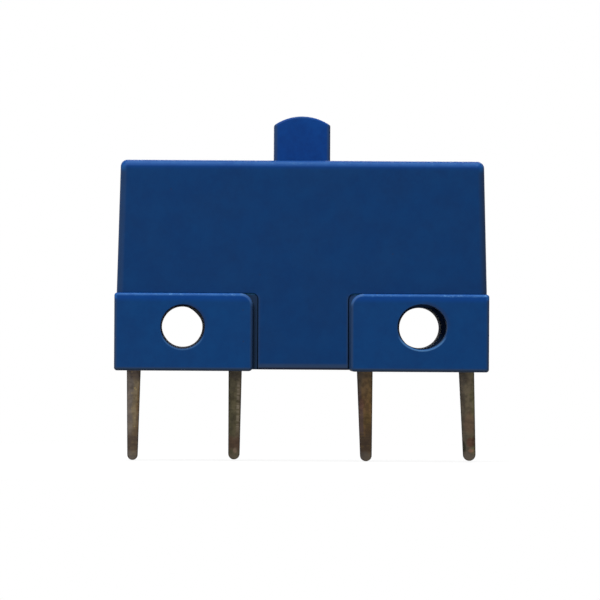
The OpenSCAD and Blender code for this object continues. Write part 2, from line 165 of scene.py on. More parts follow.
def arc(centre: Span, radius: float, start: float, end: float, steps: int) -> list[Span]:
    """Points of an arc in a plane.

    Args:
        centre: Middle of the arc.
        radius: Radius of the arc.
        start: Angle of the first point, in degrees.
        end: Angle of the last point, in degrees.
        steps: Number of straight pieces.

    Returns:
        The points, from the first angle to the last.
    """
    angles = [math.radians(start + (end - start) * i / steps) for i in range(steps + 1)]
    return [(centre[0] + radius * math.cos(a), centre[1] + radius * math.sin(a)) for a in angles]


class Blank:
    """Workpiece in millimetres that is shaped step by step with Blender's operators.

    A step acts on what is selected, and gives back the workpiece for the next one.
    """

    def __init__(self, name: str) -> None:
        """Takes over the primitive that was added last.

        Args:
            name: Name that it gets.
        """
        self.body: bpy.types.Object = bpy.context.object
        self.body.name = name
        bpy.ops.object.transform_apply(location=True, rotation=True, scale=True)

    @staticmethod
    def clear_bench() -> None:
        """Leaves edit mode and deselects everything."""
        if bpy.context.object and bpy.context.object.mode != "OBJECT":
            bpy.ops.object.mode_set(mode="OBJECT")
        bpy.ops.object.select_all(action="DESELECT")

    @classmethod
    def block(cls, name: str, low: Point, high: Point) -> Blank:
        """Box between its lowest and its highest corner.

        Args:
            name: Name of the workpiece.
            low: Lowest corner.
            high: Highest corner.

        Returns:
            The new workpiece.
        """
        cls.clear_bench()
        size = Vector(high) - Vector(low)
        bpy.ops.mesh.primitive_cube_add(size=1, location=Vector(low) + size / 2, scale=size)
        return cls(name)

    @classmethod
    def rod(
        cls, name: str, radius: float, start: Point, end: Point, far: float = 0, sides: int = SIDES
    ) -> Blank:
        """Cylinder or blunt cone between two points.

        Args:
            name: Name of the workpiece.
            radius: Radius at its start.
            start: Middle of its first end.
            end: Middle of its other end.
            far: Radius at its other end, if that differs.
            sides: Number of flat sides.

        Returns:
            The new workpiece.
        """
        cls.clear_bench()
        way = Vector(end) - Vector(start)
        bpy.ops.mesh.primitive_cone_add(
            vertices=sides,
            radius1=radius,
            radius2=far or radius,
            depth=way.length,
            location=Vector(start) + way / 2,
            rotation=way.to_track_quat("Z", "Y").to_euler(),
        )
        return cls(name)

    @classmethod
    def line(cls, name: str, points: Sequence[Point]) -> Blank:
        """Line drawn from point to point by extruding a single vertex.

        Args:
            name: Name of the workpiece.
            points: Points of the line.

        Returns:
            The new workpiece, with the whole line selected.
        """
        cls.clear_bench()
        bpy.ops.mesh.primitive_plane_add(size=1, location=points[0])
        made = cls(name).pick_all()
        bpy.ops.mesh.merge(type="CENTER")
        for here, there in zip(points, points[1:]):
            made.extrude(*(Vector(there) - Vector(here)))
        return made.pick_all()

    @classmethod
    def sheet(cls, name: str, points: Sequence[Point]) -> Blank:
        """Flat face with an outline.

        Args:
            name: Name of the workpiece.
            points: Corners of the outline, in order.

        Returns:
            The new workpiece.
        """
        made = cls.line(name, points)
        bpy.ops.mesh.edge_face_add()
        return made

    @classmethod
    def turned(cls, name: str, profile: Sequence[Span], steps: int) -> Blank:
        """Shape turned round the Z axis.

        Args:
            name: Name of the workpiece.
            profile: Points of radius and height that start and end on the axis.
            steps: Number of steps round the axis.

        Returns:
            The new workpiece.
        """
        made = cls.line(name, [(r, 0.0, z) for r, z in profile])
        return made.bend((0, 0, 0), (0, 0, 1), 360, steps).weld()

    @classmethod
    def wire(cls, name: str, points: Sequence[Point], radius: float) -> Blank:
        """Round wire along a line.

        Args:
            name: Name of the workpiece.
            points: Points of the wire's middle.
            radius: Half the wire's thickness.

        Returns:
            The new workpiece.
        """
        made = cls.line(name, points)
        made.hold()
        bpy.ops.object.convert(target="CURVE")
        curve = bpy.context.object.data
        curve.bevel_depth, curve.bevel_resolution, curve.use_fill_caps = radius, 3, True
        bpy.ops.object.convert(target="MESH")
        made.body = bpy.context.object
        return made.weld()

    def hold(self) -> None:
        """Makes the workpiece the only selected object, in object mode."""
        self.clear_bench()
        self.body.select_set(True)
        bpy.context.view_layer.objects.active = self.body

    def edit(self, element: Element) -> None:
        """Opens the workpiece in edit mode.

        Args:
            element: Kind of element that is going to be selected.
        """
        if bpy.context.object != self.body or self.body.mode != "EDIT":
            self.hold()
            bpy.ops.object.mode_set(mode="EDIT")
        bpy.ops.mesh.select_mode(type=element.value)

    def pick(self, element: Element, test: Test) -> Blank:
        """Selects the elements that pass a test, and nothing else.

        Args:
            element: Kind of element to pick.
            test: Called with each element's middle and with its normal or, for an edge, its direction.

        Returns:
            The workpiece itself.
        """
        self.edit(element)
        bpy.ops.mesh.select_all(action="DESELECT")
        mesh = bmesh.from_edit_mesh(self.body.data)
        if element is Element.VERTEX:
            places = [(v, v.co, v.normal) for v in mesh.verts]
        elif element is Element.FACE:
            places = [(f, f.calc_center_median(), f.normal) for f in mesh.faces]
        else:
            ends = [(e, e.verts[0].co, e.verts[1].co) for e in mesh.edges]
            places = [(e, (a + b) / 2, (b - a).normalized()) for e, a, b in ends]
        for item, middle, direction in places:
            if test(middle, direction):
                item.select_set(True)
        mesh.select_flush_mode()
        bmesh.update_edit_mesh(self.body.data)
        return self

    def pick_all(self) -> Blank:
        """Selects the whole workpiece.

        Returns:
            The workpiece itself.
        """
        self.edit(Element.VERTEX)
        bpy.ops.mesh.select_all(action="SELECT")
        return self

    def bevel(self, width: float, segments: int = 4, corners: bool = False) -> Blank:
        """Rounds what is selected.

        Args:
            width: Radius of the rounding.
            segments: Number of steps round it.
            corners: Rounds selected corners of a flat sheet, and not edges.

        Returns:
            The workpiece itself.
        """
        kind = "VERTICES" if corners else "EDGES"
        bpy.ops.mesh.bevel(offset=width, segments=segments, affect=kind, clamp_overlap=True)
        return self

    def round_uprights(self, radius: float, segments: int = 4) -> Blank:
        """Rounds the edges that run along Z."""
        return self.pick(Element.EDGE, lambda at, way: abs(way.z) > ALONG).bevel(radius, segments)

    def extrude(self, *way: float) -> Blank:
        """Extrudes what is selected along a way."""
        bpy.ops.mesh.extrude_region_move(TRANSFORM_OT_translate={"value": Vector(way)})
        return self

    def bend(self, centre: Point, axis: Point, degrees: float, steps: int) -> Blank:
        """Extrudes what is selected round an axis through a centre, in steps."""
        bpy.ops.mesh.spin(steps=steps, angle=math.radians(degrees), center=centre, axis=axis)
        return self

    def move(self, *way: float) -> Blank:
        """Moves what is selected."""
        bpy.ops.transform.translate(value=Vector(way))
        return self

    def resize(self, factors: Point, centre: Point) -> Blank:
        """Scales what is selected along each axis, from a centre that stays where it is."""
        bpy.ops.transform.resize(value=factors, center_override=centre)
        return self

    def slice(self, point: Point, normal: Point) -> Blank:
        """Cuts edges into the whole workpiece along a plane.

        Args:
            point: Point on the plane.
            normal: Normal of the plane.

        Returns:
            The workpiece itself.
        """
        self.pick_all()
        bpy.ops.mesh.bisect(plane_co=point, plane_no=normal)
        return self

    def jitter(self, reach: float, seed: int) -> Blank:
        """Shifts each selected vertex by up to a reach, for an edge that is not quite true."""
        bpy.ops.transform.vertex_random(offset=reach, uniform=0.0, normal=0.0, seed=seed)
        return self

    def nudge(self, point: Point, way: Point, reach: float) -> Blank:
        """Moves the vertex nearest to a point, and with it those round it by less and less.

        Args:
            point: Point near the vertex.
            way: Way to move it.
            reach: Distance at which nothing moves.

        Returns:
            The workpiece itself.
        """
        self.edit(Element.VERTEX)
        spots = [v.co.copy() for v in bmesh.from_edit_mesh(self.body.data).verts]
        nearest = min(spots, key=lambda at: (at - Vector(point)).length)
        self.pick(Element.VERTEX, lambda at, normal: (at - nearest).length < DOUBLED)
        bpy.ops.transform.translate(value=way, use_proportional_edit=True, proportional_size=reach)
        return self

    def merge_flats(self) -> Blank:
        """Dissolves edges and vertices that lie inside flat faces.

        Returns:
            The workpiece itself.
        """
        self.pick_all()
        bpy.ops.mesh.dissolve_limited(angle_limit=FLAT_ANGLE)
        return self

    def weld(self) -> Blank:
        """Merges doubled vertices and points all faces outwards.

        Returns:
            The workpiece itself.
        """
        self.pick_all()
        bpy.ops.mesh.remove_doubles(threshold=DOUBLED)
        bpy.ops.mesh.normals_make_consistent(inside=False)
        return self

    def clean(self) -> Blank:
        """Merges vertices that all but coincide, and dissolves slivers.

        Returns:
            The workpiece itself.
        """
        self.pick_all()
        bpy.ops.mesh.remove_doubles(threshold=SLIVER)
        bpy.ops.mesh.dissolve_degenerate(threshold=SLIVER)
        return self

    def place(self, side: Side) -> Blank:
        """Mirrors a workpiece that was made for the right half, if it belongs to the left."""
        return self.pick_all().resize((-1, 1, 1), (0, 0, 0)).weld() if side is Side.LEFT else self

    def modify(self, kind: str, **settings: object) -> Blank:
        """Adds a modifier and applies it.

        Args:
            kind: Blender's name of the modifier type.
            **settings: Properties of the modifier.

        Returns:
            The workpiece itself.
        """
        self.hold()
        modifier = self.body.modifiers.new(kind.lower(), kind)
        for key, value in settings.items():
            setattr(modifier, key, value)
        bpy.ops.object.modifier_apply(modifier=modifier.name)
        return self

    def combine(self, cut: Cut, *tools: Blank) -> Blank:
        """Cuts by or joins with other workpieces, which are used up.

        Args:
            cut: How to combine.
            *tools: The other workpieces.

        Returns:
            The workpiece itself.
        """
        for tool in tools:
            tool.hold()
            self.modify("BOOLEAN", operation=cut.value, object=tool.body, solver="EXACT")
            bpy.data.objects.remove(tool.body)
        return self

    def round_edges(self, width: float, segments: int = 3) -> Blank:
        """Rounds every sharp edge, as a bevel modifier does."""
        limits = {"limit_method": "ANGLE", "angle_limit": SHARP_ANGLE}
        return self.modify("BEVEL", width=width, segments=segments, **limits)

    def finish(
        self, body: Body | None, slot: str, material: bpy.types.Material, nodes: Sequence[str]
    ) -> bpy.types.Object:
        """Brings the workpiece to metres, shades it smooth and sets it on the frame.

        Args:
            body: Body that the piece rides on, or None for a piece that is set on no body.
            slot: Material slot of the record; not used.
            material: Finish of the piece.
            nodes: CAD nodes that the piece stands for.

        Returns:
            The finished piece.
        """
        self.clean().hold()
        piece = self.body
        piece.scale = (MM, MM, MM)
        bpy.ops.object.transform_apply(location=False, rotation=False, scale=True)
        bpy.ops.object.shade_smooth_by_angle(angle=SMOOTH_ANGLE)
        self.modify("WEIGHTED_NORMAL", keep_sharp=True, weight=80)
        piece.data.materials.clear()
        piece.data.materials.append(material)
        if body:
            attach(piece, body.value)
        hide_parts(*nodes)
        LOG.info("%s: %d faces", piece.name, len(piece.data.polygons))
        return piece


# ---------------------------------------------------------------------------------------------------------
# Finishes
# ---------------------------------------------------------------------------------------------------------


STRAY = 0.15  # how far outside the box of its edges a worn surface may lie
COMMON = (0.3, 0.7)  # range that a noise mostly keeps to


def linear(colour: Colour) -> tuple[float, float, float, float]:
    """Turns a screen colour into a shader's linear colour.

    Args:
        colour: Red, green and blue from 0 to 255.

    Returns:
        The linear colour and an alpha of 1.
    """
    parts = [c / 255 for c in colour]
    straight = [c / 12.92 if c <= 0.04045 else ((c + 0.055) / 1.055) ** 2.4 for c in parts]
    return (*straight, 1.0)


class Graph:
    """Node tree that is being wired."""

    def __init__(self, tree: bpy.types.NodeTree) -> None:
        """Takes the tree of a material, world or node group, and empties it."""
        self.tree = tree
        tree.nodes.clear()

    def plug(self, value: Value, socket: bpy.types.NodeSocket) -> None:
        """Links or sets an input.

        Args:
            value: Field to link, or number, place or colour to set.
            socket: The input.
        """
        if isinstance(value, Field):
            self.tree.links.new(value.socket, socket)
        else:
            socket.default_value = value

    def add(self, kind: str, inputs: Inputs | None = None, **settings: object) -> bpy.types.Node:
        """Adds a node, sets it and wires it.

        Args:
            kind: Node type without its ShaderNode prefix.
            inputs: Field or value for each input by name or number.
            **settings: Properties of the node.

        Returns:
            The new node.
        """
        node = self.tree.nodes.new(f"ShaderNode{kind}")
        for key, value in settings.items():
            setattr(node, key, value)
        for key, value in (inputs or {}).items():
            self.plug(value, node.inputs[key])
        return node

    def field(self, kind: str, inputs: Inputs, output: str | int = 0, **settings: object) -> Field:
        """Adds a node, as add does, and returns one of its outputs."""
        return Field(self, self.add(kind, inputs, **settings).outputs[output])

    def join(self, x: Value, y: Value, z: Value) -> Field:
        """Joins X, Y and Z to coordinates."""
        return self.field("CombineXYZ", {0: x, 1: y, 2: z})


class Field:
    """Value, colour or place that changes over a surface, and that can be calculated with.

    A comparison gives a mask, which is 1 where it holds and 0 elsewhere.
    """

    def __init__(self, graph: Graph, socket: bpy.types.NodeSocket) -> None:
        """Takes the output of a node, and the graph that the node is in."""
        self.graph = graph
        self.socket = socket

    def math(self, operation: str, other: Value = 0.0) -> Field:
        """Calculates with this value and another."""
        return self.graph.field("Math", {0: self, 1: other}, operation=operation)

    def __add__(self, other: Value) -> Field:
        """This value and another together."""
        return self.math("ADD", other)

    def __sub__(self, other: Value) -> Field:
        """This value less another."""
        return self.math("SUBTRACT", other)

    def __rsub__(self, number: float) -> Field:
        """Number less this value."""
        return self.graph.field("Math", {0: number, 1: self}, operation="SUBTRACT")

    def __mul__(self, other: Value) -> Field:
        """This value times another."""
        return self.math("MULTIPLY", other)

    def __truediv__(self, other: Value) -> Field:
        """This value over another."""
        return self.math("DIVIDE", other)

    def __abs__(self) -> Field:
        """This value without its sign."""
        return self.math("ABSOLUTE")

    def __gt__(self, level: Value) -> Field:
        """Mask of where this value is above a level."""
        return self.math("GREATER_THAN", level)

    def __lt__(self, level: Value) -> Field:
        """Mask of where this value is below a level."""
        return self.math("LESS_THAN", level)

    def between(self, low: Value, high: Value) -> Field:
        """Mask of where this value is between two levels."""
        return (self > low) * (self < high)

    def most(self, other: Value) -> Field:
        """Greater one of this value and another."""
        return self.math("MAXIMUM", other)

    def least(self, other: Value) -> Field:
        """Smaller one of this value and another."""
        return self.math("MINIMUM", other)

    def hypot(self, other: Field) -> Field:
        """Distance from the origin of the point whose coordinates are this value and another."""
        return (self * self + other * other).math("SQRT")

    def spread(self, low: Value, high: Value, to_low: Value = 0, to_high: Value = 1) -> Field:
        """Maps this value from one range to another, smoothly and within its ends.

        Args:
            low: Value that becomes to_low.
            high: Value that becomes to_high.
            to_low: Result at the low end.
            to_high: Result at the high end.

        Returns:
            The mapped value.
        """
        ends = {"Value": self, "From Min": low, "From Max": high, "To Min": to_low, "To Max": to_high}
        return self.graph.field("MapRange", ends, "Result", interpolation_type="SMOOTHSTEP")

    def band(self, start: float, full: float, last: float, end: float) -> Field:
        """Mask that rises from the start until it is full, and falls from the last full value to the end."""
        return self.spread(start, full) * self.spread(end, last)

    def blend(self, first: Colour | Field, second: Colour | Field) -> Field:
        """Colour that goes from the first to the second as this share goes from 0 to 1."""
        parts = [c if isinstance(c, Field) else linear(c) for c in (first, second)]
        return self.graph.field("Mix", {0: self, 6: parts[0], 7: parts[1]}, 2, data_type="RGBA")

    def coated(self, *coats: tuple[Field, Colour | Field]) -> Field:
        """Lays coats over this colour, one after the other.

        Args:
            *coats: Share from 0 to 1 and colour of each coat.

        Returns:
            The new colour.
        """
        tone = self
        for share, colour in coats:
            tone = share.blend(tone, colour)
        return tone

    def split(self) -> list[Field]:
        """Splits this place into X, Y and Z."""
        return [Field(self.graph, part) for part in self.graph.add("SeparateXYZ", {0: self}).outputs]

    def stretched(self, factors: Point, shift: Point = (0, 0, 0)) -> Field:
        """Scales and then shifts this place, so that a pattern on it is stretched and set in place."""
        return self.graph.field("Mapping", {"Vector": self, "Scale": factors, "Location": shift})

    def noise(self, scale: Value, detail: float, rough: float = 0.5) -> Field:
        """Noise from 0 to 1 at a scale per unit of this place."""
        inputs = {"Vector": self, "Scale": scale, "Detail": detail, "Roughness": rough}
        return self.graph.field("TexNoise", inputs)


class Effect:
    """Shader node group that is built once and placed by each finish with its own values."""

    def __init__(self, name: str, recipe: Callable[..., Field], **inputs: float | Point) -> None:
        """Builds the group, with one output that is called Mask.

        Args:
            name: Name of the group.
            recipe: Gives the mask for the inputs.
            **inputs: Default of each input, the main one first. A triple makes a vector input.
        """
        self.tree = bpy.data.node_groups.new(name, "ShaderNodeTree")
        graph, sockets = Graph(self.tree), self.tree.interface
        for key, value in inputs.items():
            kind = "NodeSocketVector" if isinstance(value, tuple) else "NodeSocketFloat"
            sockets.new_socket(name=self.title(key), in_out="INPUT", socket_type=kind).default_value = value
        sockets.new_socket(name="Mask", in_out="OUTPUT", socket_type="NodeSocketFloat")
        given = self.tree.nodes.new("NodeGroupInput").outputs
        mask = recipe(**{key: Field(graph, given[self.title(key)]) for key in inputs})
        graph.plug(mask, self.tree.nodes.new("NodeGroupOutput").inputs["Mask"])

    @staticmethod
    def title(key: str) -> str:
        """Name of the socket for an input."""
        return key.replace("_", " ").title()

    def __call__(self, main: Field, **inputs: Value) -> Field:
        """Places the group on its main input, sets its other inputs and returns its mask."""
        values = {0: main, **{self.title(key): value for key, value in inputs.items()}}
        return main.graph.field("Group", values, node_tree=self.tree)


class Effects:
    """Effects that the finishes share. Their lengths are in millimetres."""

    def __init__(self) -> None:
        """Builds every effect."""
        place = {"place": (0.0, 0.0, 0.0)}
        length = {"top": -3.3, "tip": -10.05}
        width = {"middle": 0.0, "lean": 0.0, "half": 0.5, "tip_half": 0.4}
        spot = {"at": 0.0, "level": 0.5, "wide": 1.0, "tall": 0.1, "share": 1.0}
        self.grain = Effect("moulding_grain", self._grain, **place, scale=9.0)
        self.clouds = Effect("clouds", self._clouds, **place, scale=0.6, level=0.5, soft=0.15)
        self.specks = Effect("specks", self._specks, **place, scale=0.7, size=0.12, share=0.2)
        self.marks = Effect("marks", self._marks, **place, scale=4.0, cut=0.56, soft=0.08)
        # Bands along a box's edges, which carry rubbed wear with a painted highlight, and dust with painted
        # shade.
        self.wear_and_light = Effect("edge_wear_and_light", self._wear_and_light, **place, half=(1.0, 1.0, 1.0), draft=0.0, width=0.5)
        self.across = Effect("prong_across", self._across, **place, **width, **length)
        self.down = Effect("prong_down", self._down, **place, **length)
        # Patches of tarnish, and of painted shade where the prongs leave the moulding.
        self.patch = Effect("tarnish_and_shade_patch", self._patch, across=0.0, down=0.0, wander=0.0, **spot)

    @staticmethod
    def _grain(place: Field, scale: Field) -> Field:
        """Fine even texture, as of a moulding."""
        return place.noise(scale, 2.0, 0.6)

    @staticmethod
    def _clouds(place: Field, scale: Field, level: Field, soft: Field) -> Field:
        """Soft uneven patches, as of tone or tarnish."""
        return place.noise(scale, 4.0, 0.6).spread(level - soft, level + soft)

    @staticmethod
    def _specks(place: Field, scale: Field, size: Field, share: Field) -> Field:
        """Few small round marks, such as pits, dust and scale.

        Args:
            place: Place on the object.
            scale: Number of cells in a millimetre, each of which may hold a mark.
            size: Radius of a mark, as a share of its cell.
            share: Share of the cells that hold one.

        Returns:
            Mask of the marks.
        """
        cells = place.graph.add("TexVoronoi", {"Vector": place, "Scale": scale}).outputs
        away, colour = (Field(place.graph, cells[key]) for key in ("Distance", "Color"))
        chance = place.graph.field("SeparateColor", {0: colour})
        return away.spread(size, size * 0.5) * (chance < share)

    @staticmethod
    def _marks(place: Field, scale: Field, cut: Field, soft: Field) -> Field:
        """Fine marks, which a stretched place turns into scratches, ticks or drawing lines."""
        return place.noise(scale, 3.0, 0.65).spread(cut, cut + soft)

    @staticmethod
    def _wear_and_light(place: Field, half: Field, draft: Field, width: Field) -> Field:
        """Band along the edges of a box round the origin, whose sides may lean inwards upwards.

        Args:
            place: Place from the middle of the box.
            half: Half sizes of the box.
            draft: How far its sides lean in with each millimetre of height.
            width: Width of the band.

        Returns:
            Mask of the band.
        """
        x, y, z = place.graph.field("VectorMath", {0: place}, operation="ABSOLUTE").split()
        wide, deep, tall = half.split()
        lean = place.split()[2] * draft
        a, b, c = wide - lean - x, deep - lean - y, tall - z
        from_edge = a + b + c - a.most(b).most(c)
        on_box = a.least(b).least(c) > -STRAY
        return from_edge.spread(width * 1.1, width * 0.3) * on_box

    @staticmethod
    def _down(place: Field, top: Field, tip: Field) -> Field:
        """Place down a prong's length, from 0 to 1."""
        return (top - place.split()[2]) / (top - tip)

    @classmethod
    def _across(
        cls, place: Field, middle: Field, lean: Field, half: Field, tip_half: Field, top: Field, tip: Field
    ) -> Field:
        """Place across a prong's leaning and tapering width, from -1 to 1."""
        share = cls._down(place, top, tip)
        return (place.split()[0] - (middle + lean * share)) / (half - (half - tip_half) * share)

    @staticmethod
    def _patch(
        across: Field,
        down: Field,
        wander: Field,
        at: Field,
        level: Field,
        wide: Field,
        tall: Field,
        share: Field,
    ) -> Field:
        """Soft oval patch with a wandering edge, by its place across and down a prong."""
        away = ((across - at) / wide).hypot((down - level) / tall) + wander * 0.5
        return away.spread(1.2, 0.6) * share


@dataclass(frozen=True)
class Finish:
    """Finish of a piece, whose patterns are set by its place in millimetres."""

    name: str

    def dress(self, effects: Effects) -> bpy.types.Material:
        """Builds the material.

        Args:
            effects: Shared effects.

        Returns:
            The material.
        """
        material = bpy.data.materials.new(self.name)
        material.use_nodes = True
        graph = Graph(material.node_tree)
        place = graph.field("TexCoord", {}, "Object").stretched((1 / MM, 1 / MM, 1 / MM))
        shader = graph.field("BsdfPrincipled", self.sockets(place, effects))
        graph.add("OutputMaterial", {"Surface": shader})
        return material

    def sockets(self, place: Field, effects: Effects) -> Inputs:
        """Wires the finish.

        Args:
            place: Place on the object, in millimetres.
            effects: Shared effects.

        Returns:
            Field or value for each input of the shader.
        """
        raise NotImplementedError


@dataclass(frozen=True)
class Plastic(Finish):
    """Moulded blue thermoplastic: satin, cloudy in tone, with a painted sheen near its top, rubbed with a
    painted highlight on its upper edges, dust and painted shade on its other edges, and grime and painted
    shade in its recesses.
    """

    colour: Colour = (2, 43, 89)
    cloud: Colour = (4, 42, 86)
    light: Colour = (8, 72, 126)
    wear_and_light: Colour = (34, 84, 138)
    bright: Colour = (72, 112, 150)
    sheen: Colour = (0, 66, 160)
    grime_and_shade: Colour = (34, 38, 54)
    dust_and_shade: Colour = (42, 56, 76)
    centre: Point = (0.0, 0.0, 0.0)
    half: Point = (14.0, 5.15, 8.0)
    twin: float = 0.0
    draft: float = 0.0
    width: float = 0.46
    margin: float = 0.24
    chipping: float = 0.25
    outline: float = 0.55
    mottling: float = 0.16
    glare: float = 0.25
    glare_drop: Span = (0.75, 0.3)
    speck_share: float = 0.5
    roughness: float = 0.5
    patchy: float = 0.03
    gloss: float = 0.08
    grain: float = 0.6

    def recesses(self, place: Field, tone: Field) -> tuple[Value, Field]:
        """Paints dirt and shade into the piece's recesses, which a plain piece has none of.

        Args:
            place: Place on the object, in millimetres.
            tone: Colour so far.

        Returns:
            Share of dirt and painted shade, and the new colour.
        """
        return 0.0, tone

    def centred(self, place: Field) -> Field:
        """Moves the origin to the middle of the piece, or of the nearer one of two equal blocks.

        Args:
            place: Place on the object, in millimetres.

        Returns:
            Place round that middle.
        """
        x, y, z = place.split()
        if self.twin:
            x = abs(x) - self.twin
        return place.graph.join(x, y, z).stretched((1, 1, 1), tuple(-c for c in self.centre))

    def sockets(self, place: Field, effects: Effects) -> Inputs:
        """Wires the finish.

        Args:
            place: Place on the object, in millimetres.
            effects: Shared effects.

        Returns:
            Field or value for each input of the shader.
        """
        cloud = effects.clouds(place, scale=0.28, soft=0.2)
        specks = effects.specks(place, scale=0.9, size=0.07, share=0.25)
        ragged = effects.clouds(place.stretched((1, 1, 1.6)), scale=1.3, soft=0.25)
        chips = effects.marks(place.stretched((1.0, 1.0, 2.0)), scale=2.2, cut=0.58)
        mottle = place.stretched((1, 1, 1), (3, 5, 7)).noise(0.45, 6.0, 0.85)
        local = self.centred(place)
        edge = effects.wear_and_light(local, half=self.half, draft=self.draft, width=self.width)
        line = effects.wear_and_light(local, half=self.half, draft=self.draft, width=self.margin)
        level, top = local.split()[2], self.half[2]
        upper = level.spread(top - 2.2 * self.width, top - 1.2 * self.width)
        below_top = level.spread(top, top - 0.3 * self.width)
        rub_and_highlight = edge * upper * below_top * ragged.spread(0, 1, 0.6, 1.0)
        shine_low, shine_high = (top - drop for drop in self.glare_drop)
        # The sheen near the top is a painted sheen; the rubbed band on the upper edges and its chips are wear
        # with a painted highlight; the outline on the other edges is dust with painted shade; the specks are
        # grime.
        tone = cloud.blend(self.colour, self.cloud).coated(
            (mottle.spread(*COMMON, 0, self.mottling), self.light),
            (level.spread(shine_low, shine_high, 0, self.glare), self.sheen),
            (specks * self.speck_share, self.grime_and_shade),
            (rub_and_highlight, self.wear_and_light),
            (rub_and_highlight * chips * self.chipping, self.bright),
            (line * (1.0 - upper) * self.outline, self.dust_and_shade),
        )
        recess_share, tone = self.recesses(place, tone)
        rough = cloud.spread(0, 1, self.roughness - self.patchy, self.roughness + self.patchy).most(recess_share)
        height = effects.grain(place) - specks
        bump = place.graph.field("Bump", {"Height": height, "Strength": self.grain, "Distance": 6e-6})
        return {"Base Color": tone, "Roughness": rough, "Specular IOR Level": self.gloss, "Normal": bump}


@dataclass(frozen=True)
class CoverPlastic(Plastic):
    """Blue plastic of the cover, with dust in the gaps beside its tongues and a hem darkened by painted
    shade.
    """

    margin: float = 0.5
    tongue: Point = (0.11, 3.36, 2.2)
    tongue_soft: Span = (0.4, 0.2)
    tongue_dust: float = 0.45
    hem: float = -3.17
    hem_bands: tuple[Span, Span] = ((0.5, 0.36), (0.2, 0.1))
    hem_shares: Span = (0.4, 0.9)
    edge: Colour = (20, 22, 34)

    def recesses(self, place: Field, tone: Field) -> tuple[Value, Field]:
        """Leaves dust on the tongues' sides, dust and painted shade above their hem, and painted shade on the
        hem.

        Args:
            place: Place on the object, in millimetres.
            tone: Colour so far.

        Returns:
            Share of dirt, and the new colour.
        """
        x, _, z = place.split()
        middle, half, top = self.tongue
        over, past = self.tongue_soft
        off = abs(x - middle)
        beside = off.spread(half - past, half) * (off < half + past)
        recess_share = z.spread(top + over, top - past) * beside * self.tongue_dust
        # Above the hem a greyer band is dust with painted shade; on the hem the near-black edge colour is
        # painted shade.
        above, hem = (
            z.spread(self.hem + high, self.hem + low, 0, share) * (z > self.hem + HAIR)
            for (high, low), share in zip(self.hem_bands, self.hem_shares)
        )
        return recess_share.most(hem), tone.coated((recess_share, self.dust_and_shade), (above, self.dust_and_shade), (hem, self.edge))


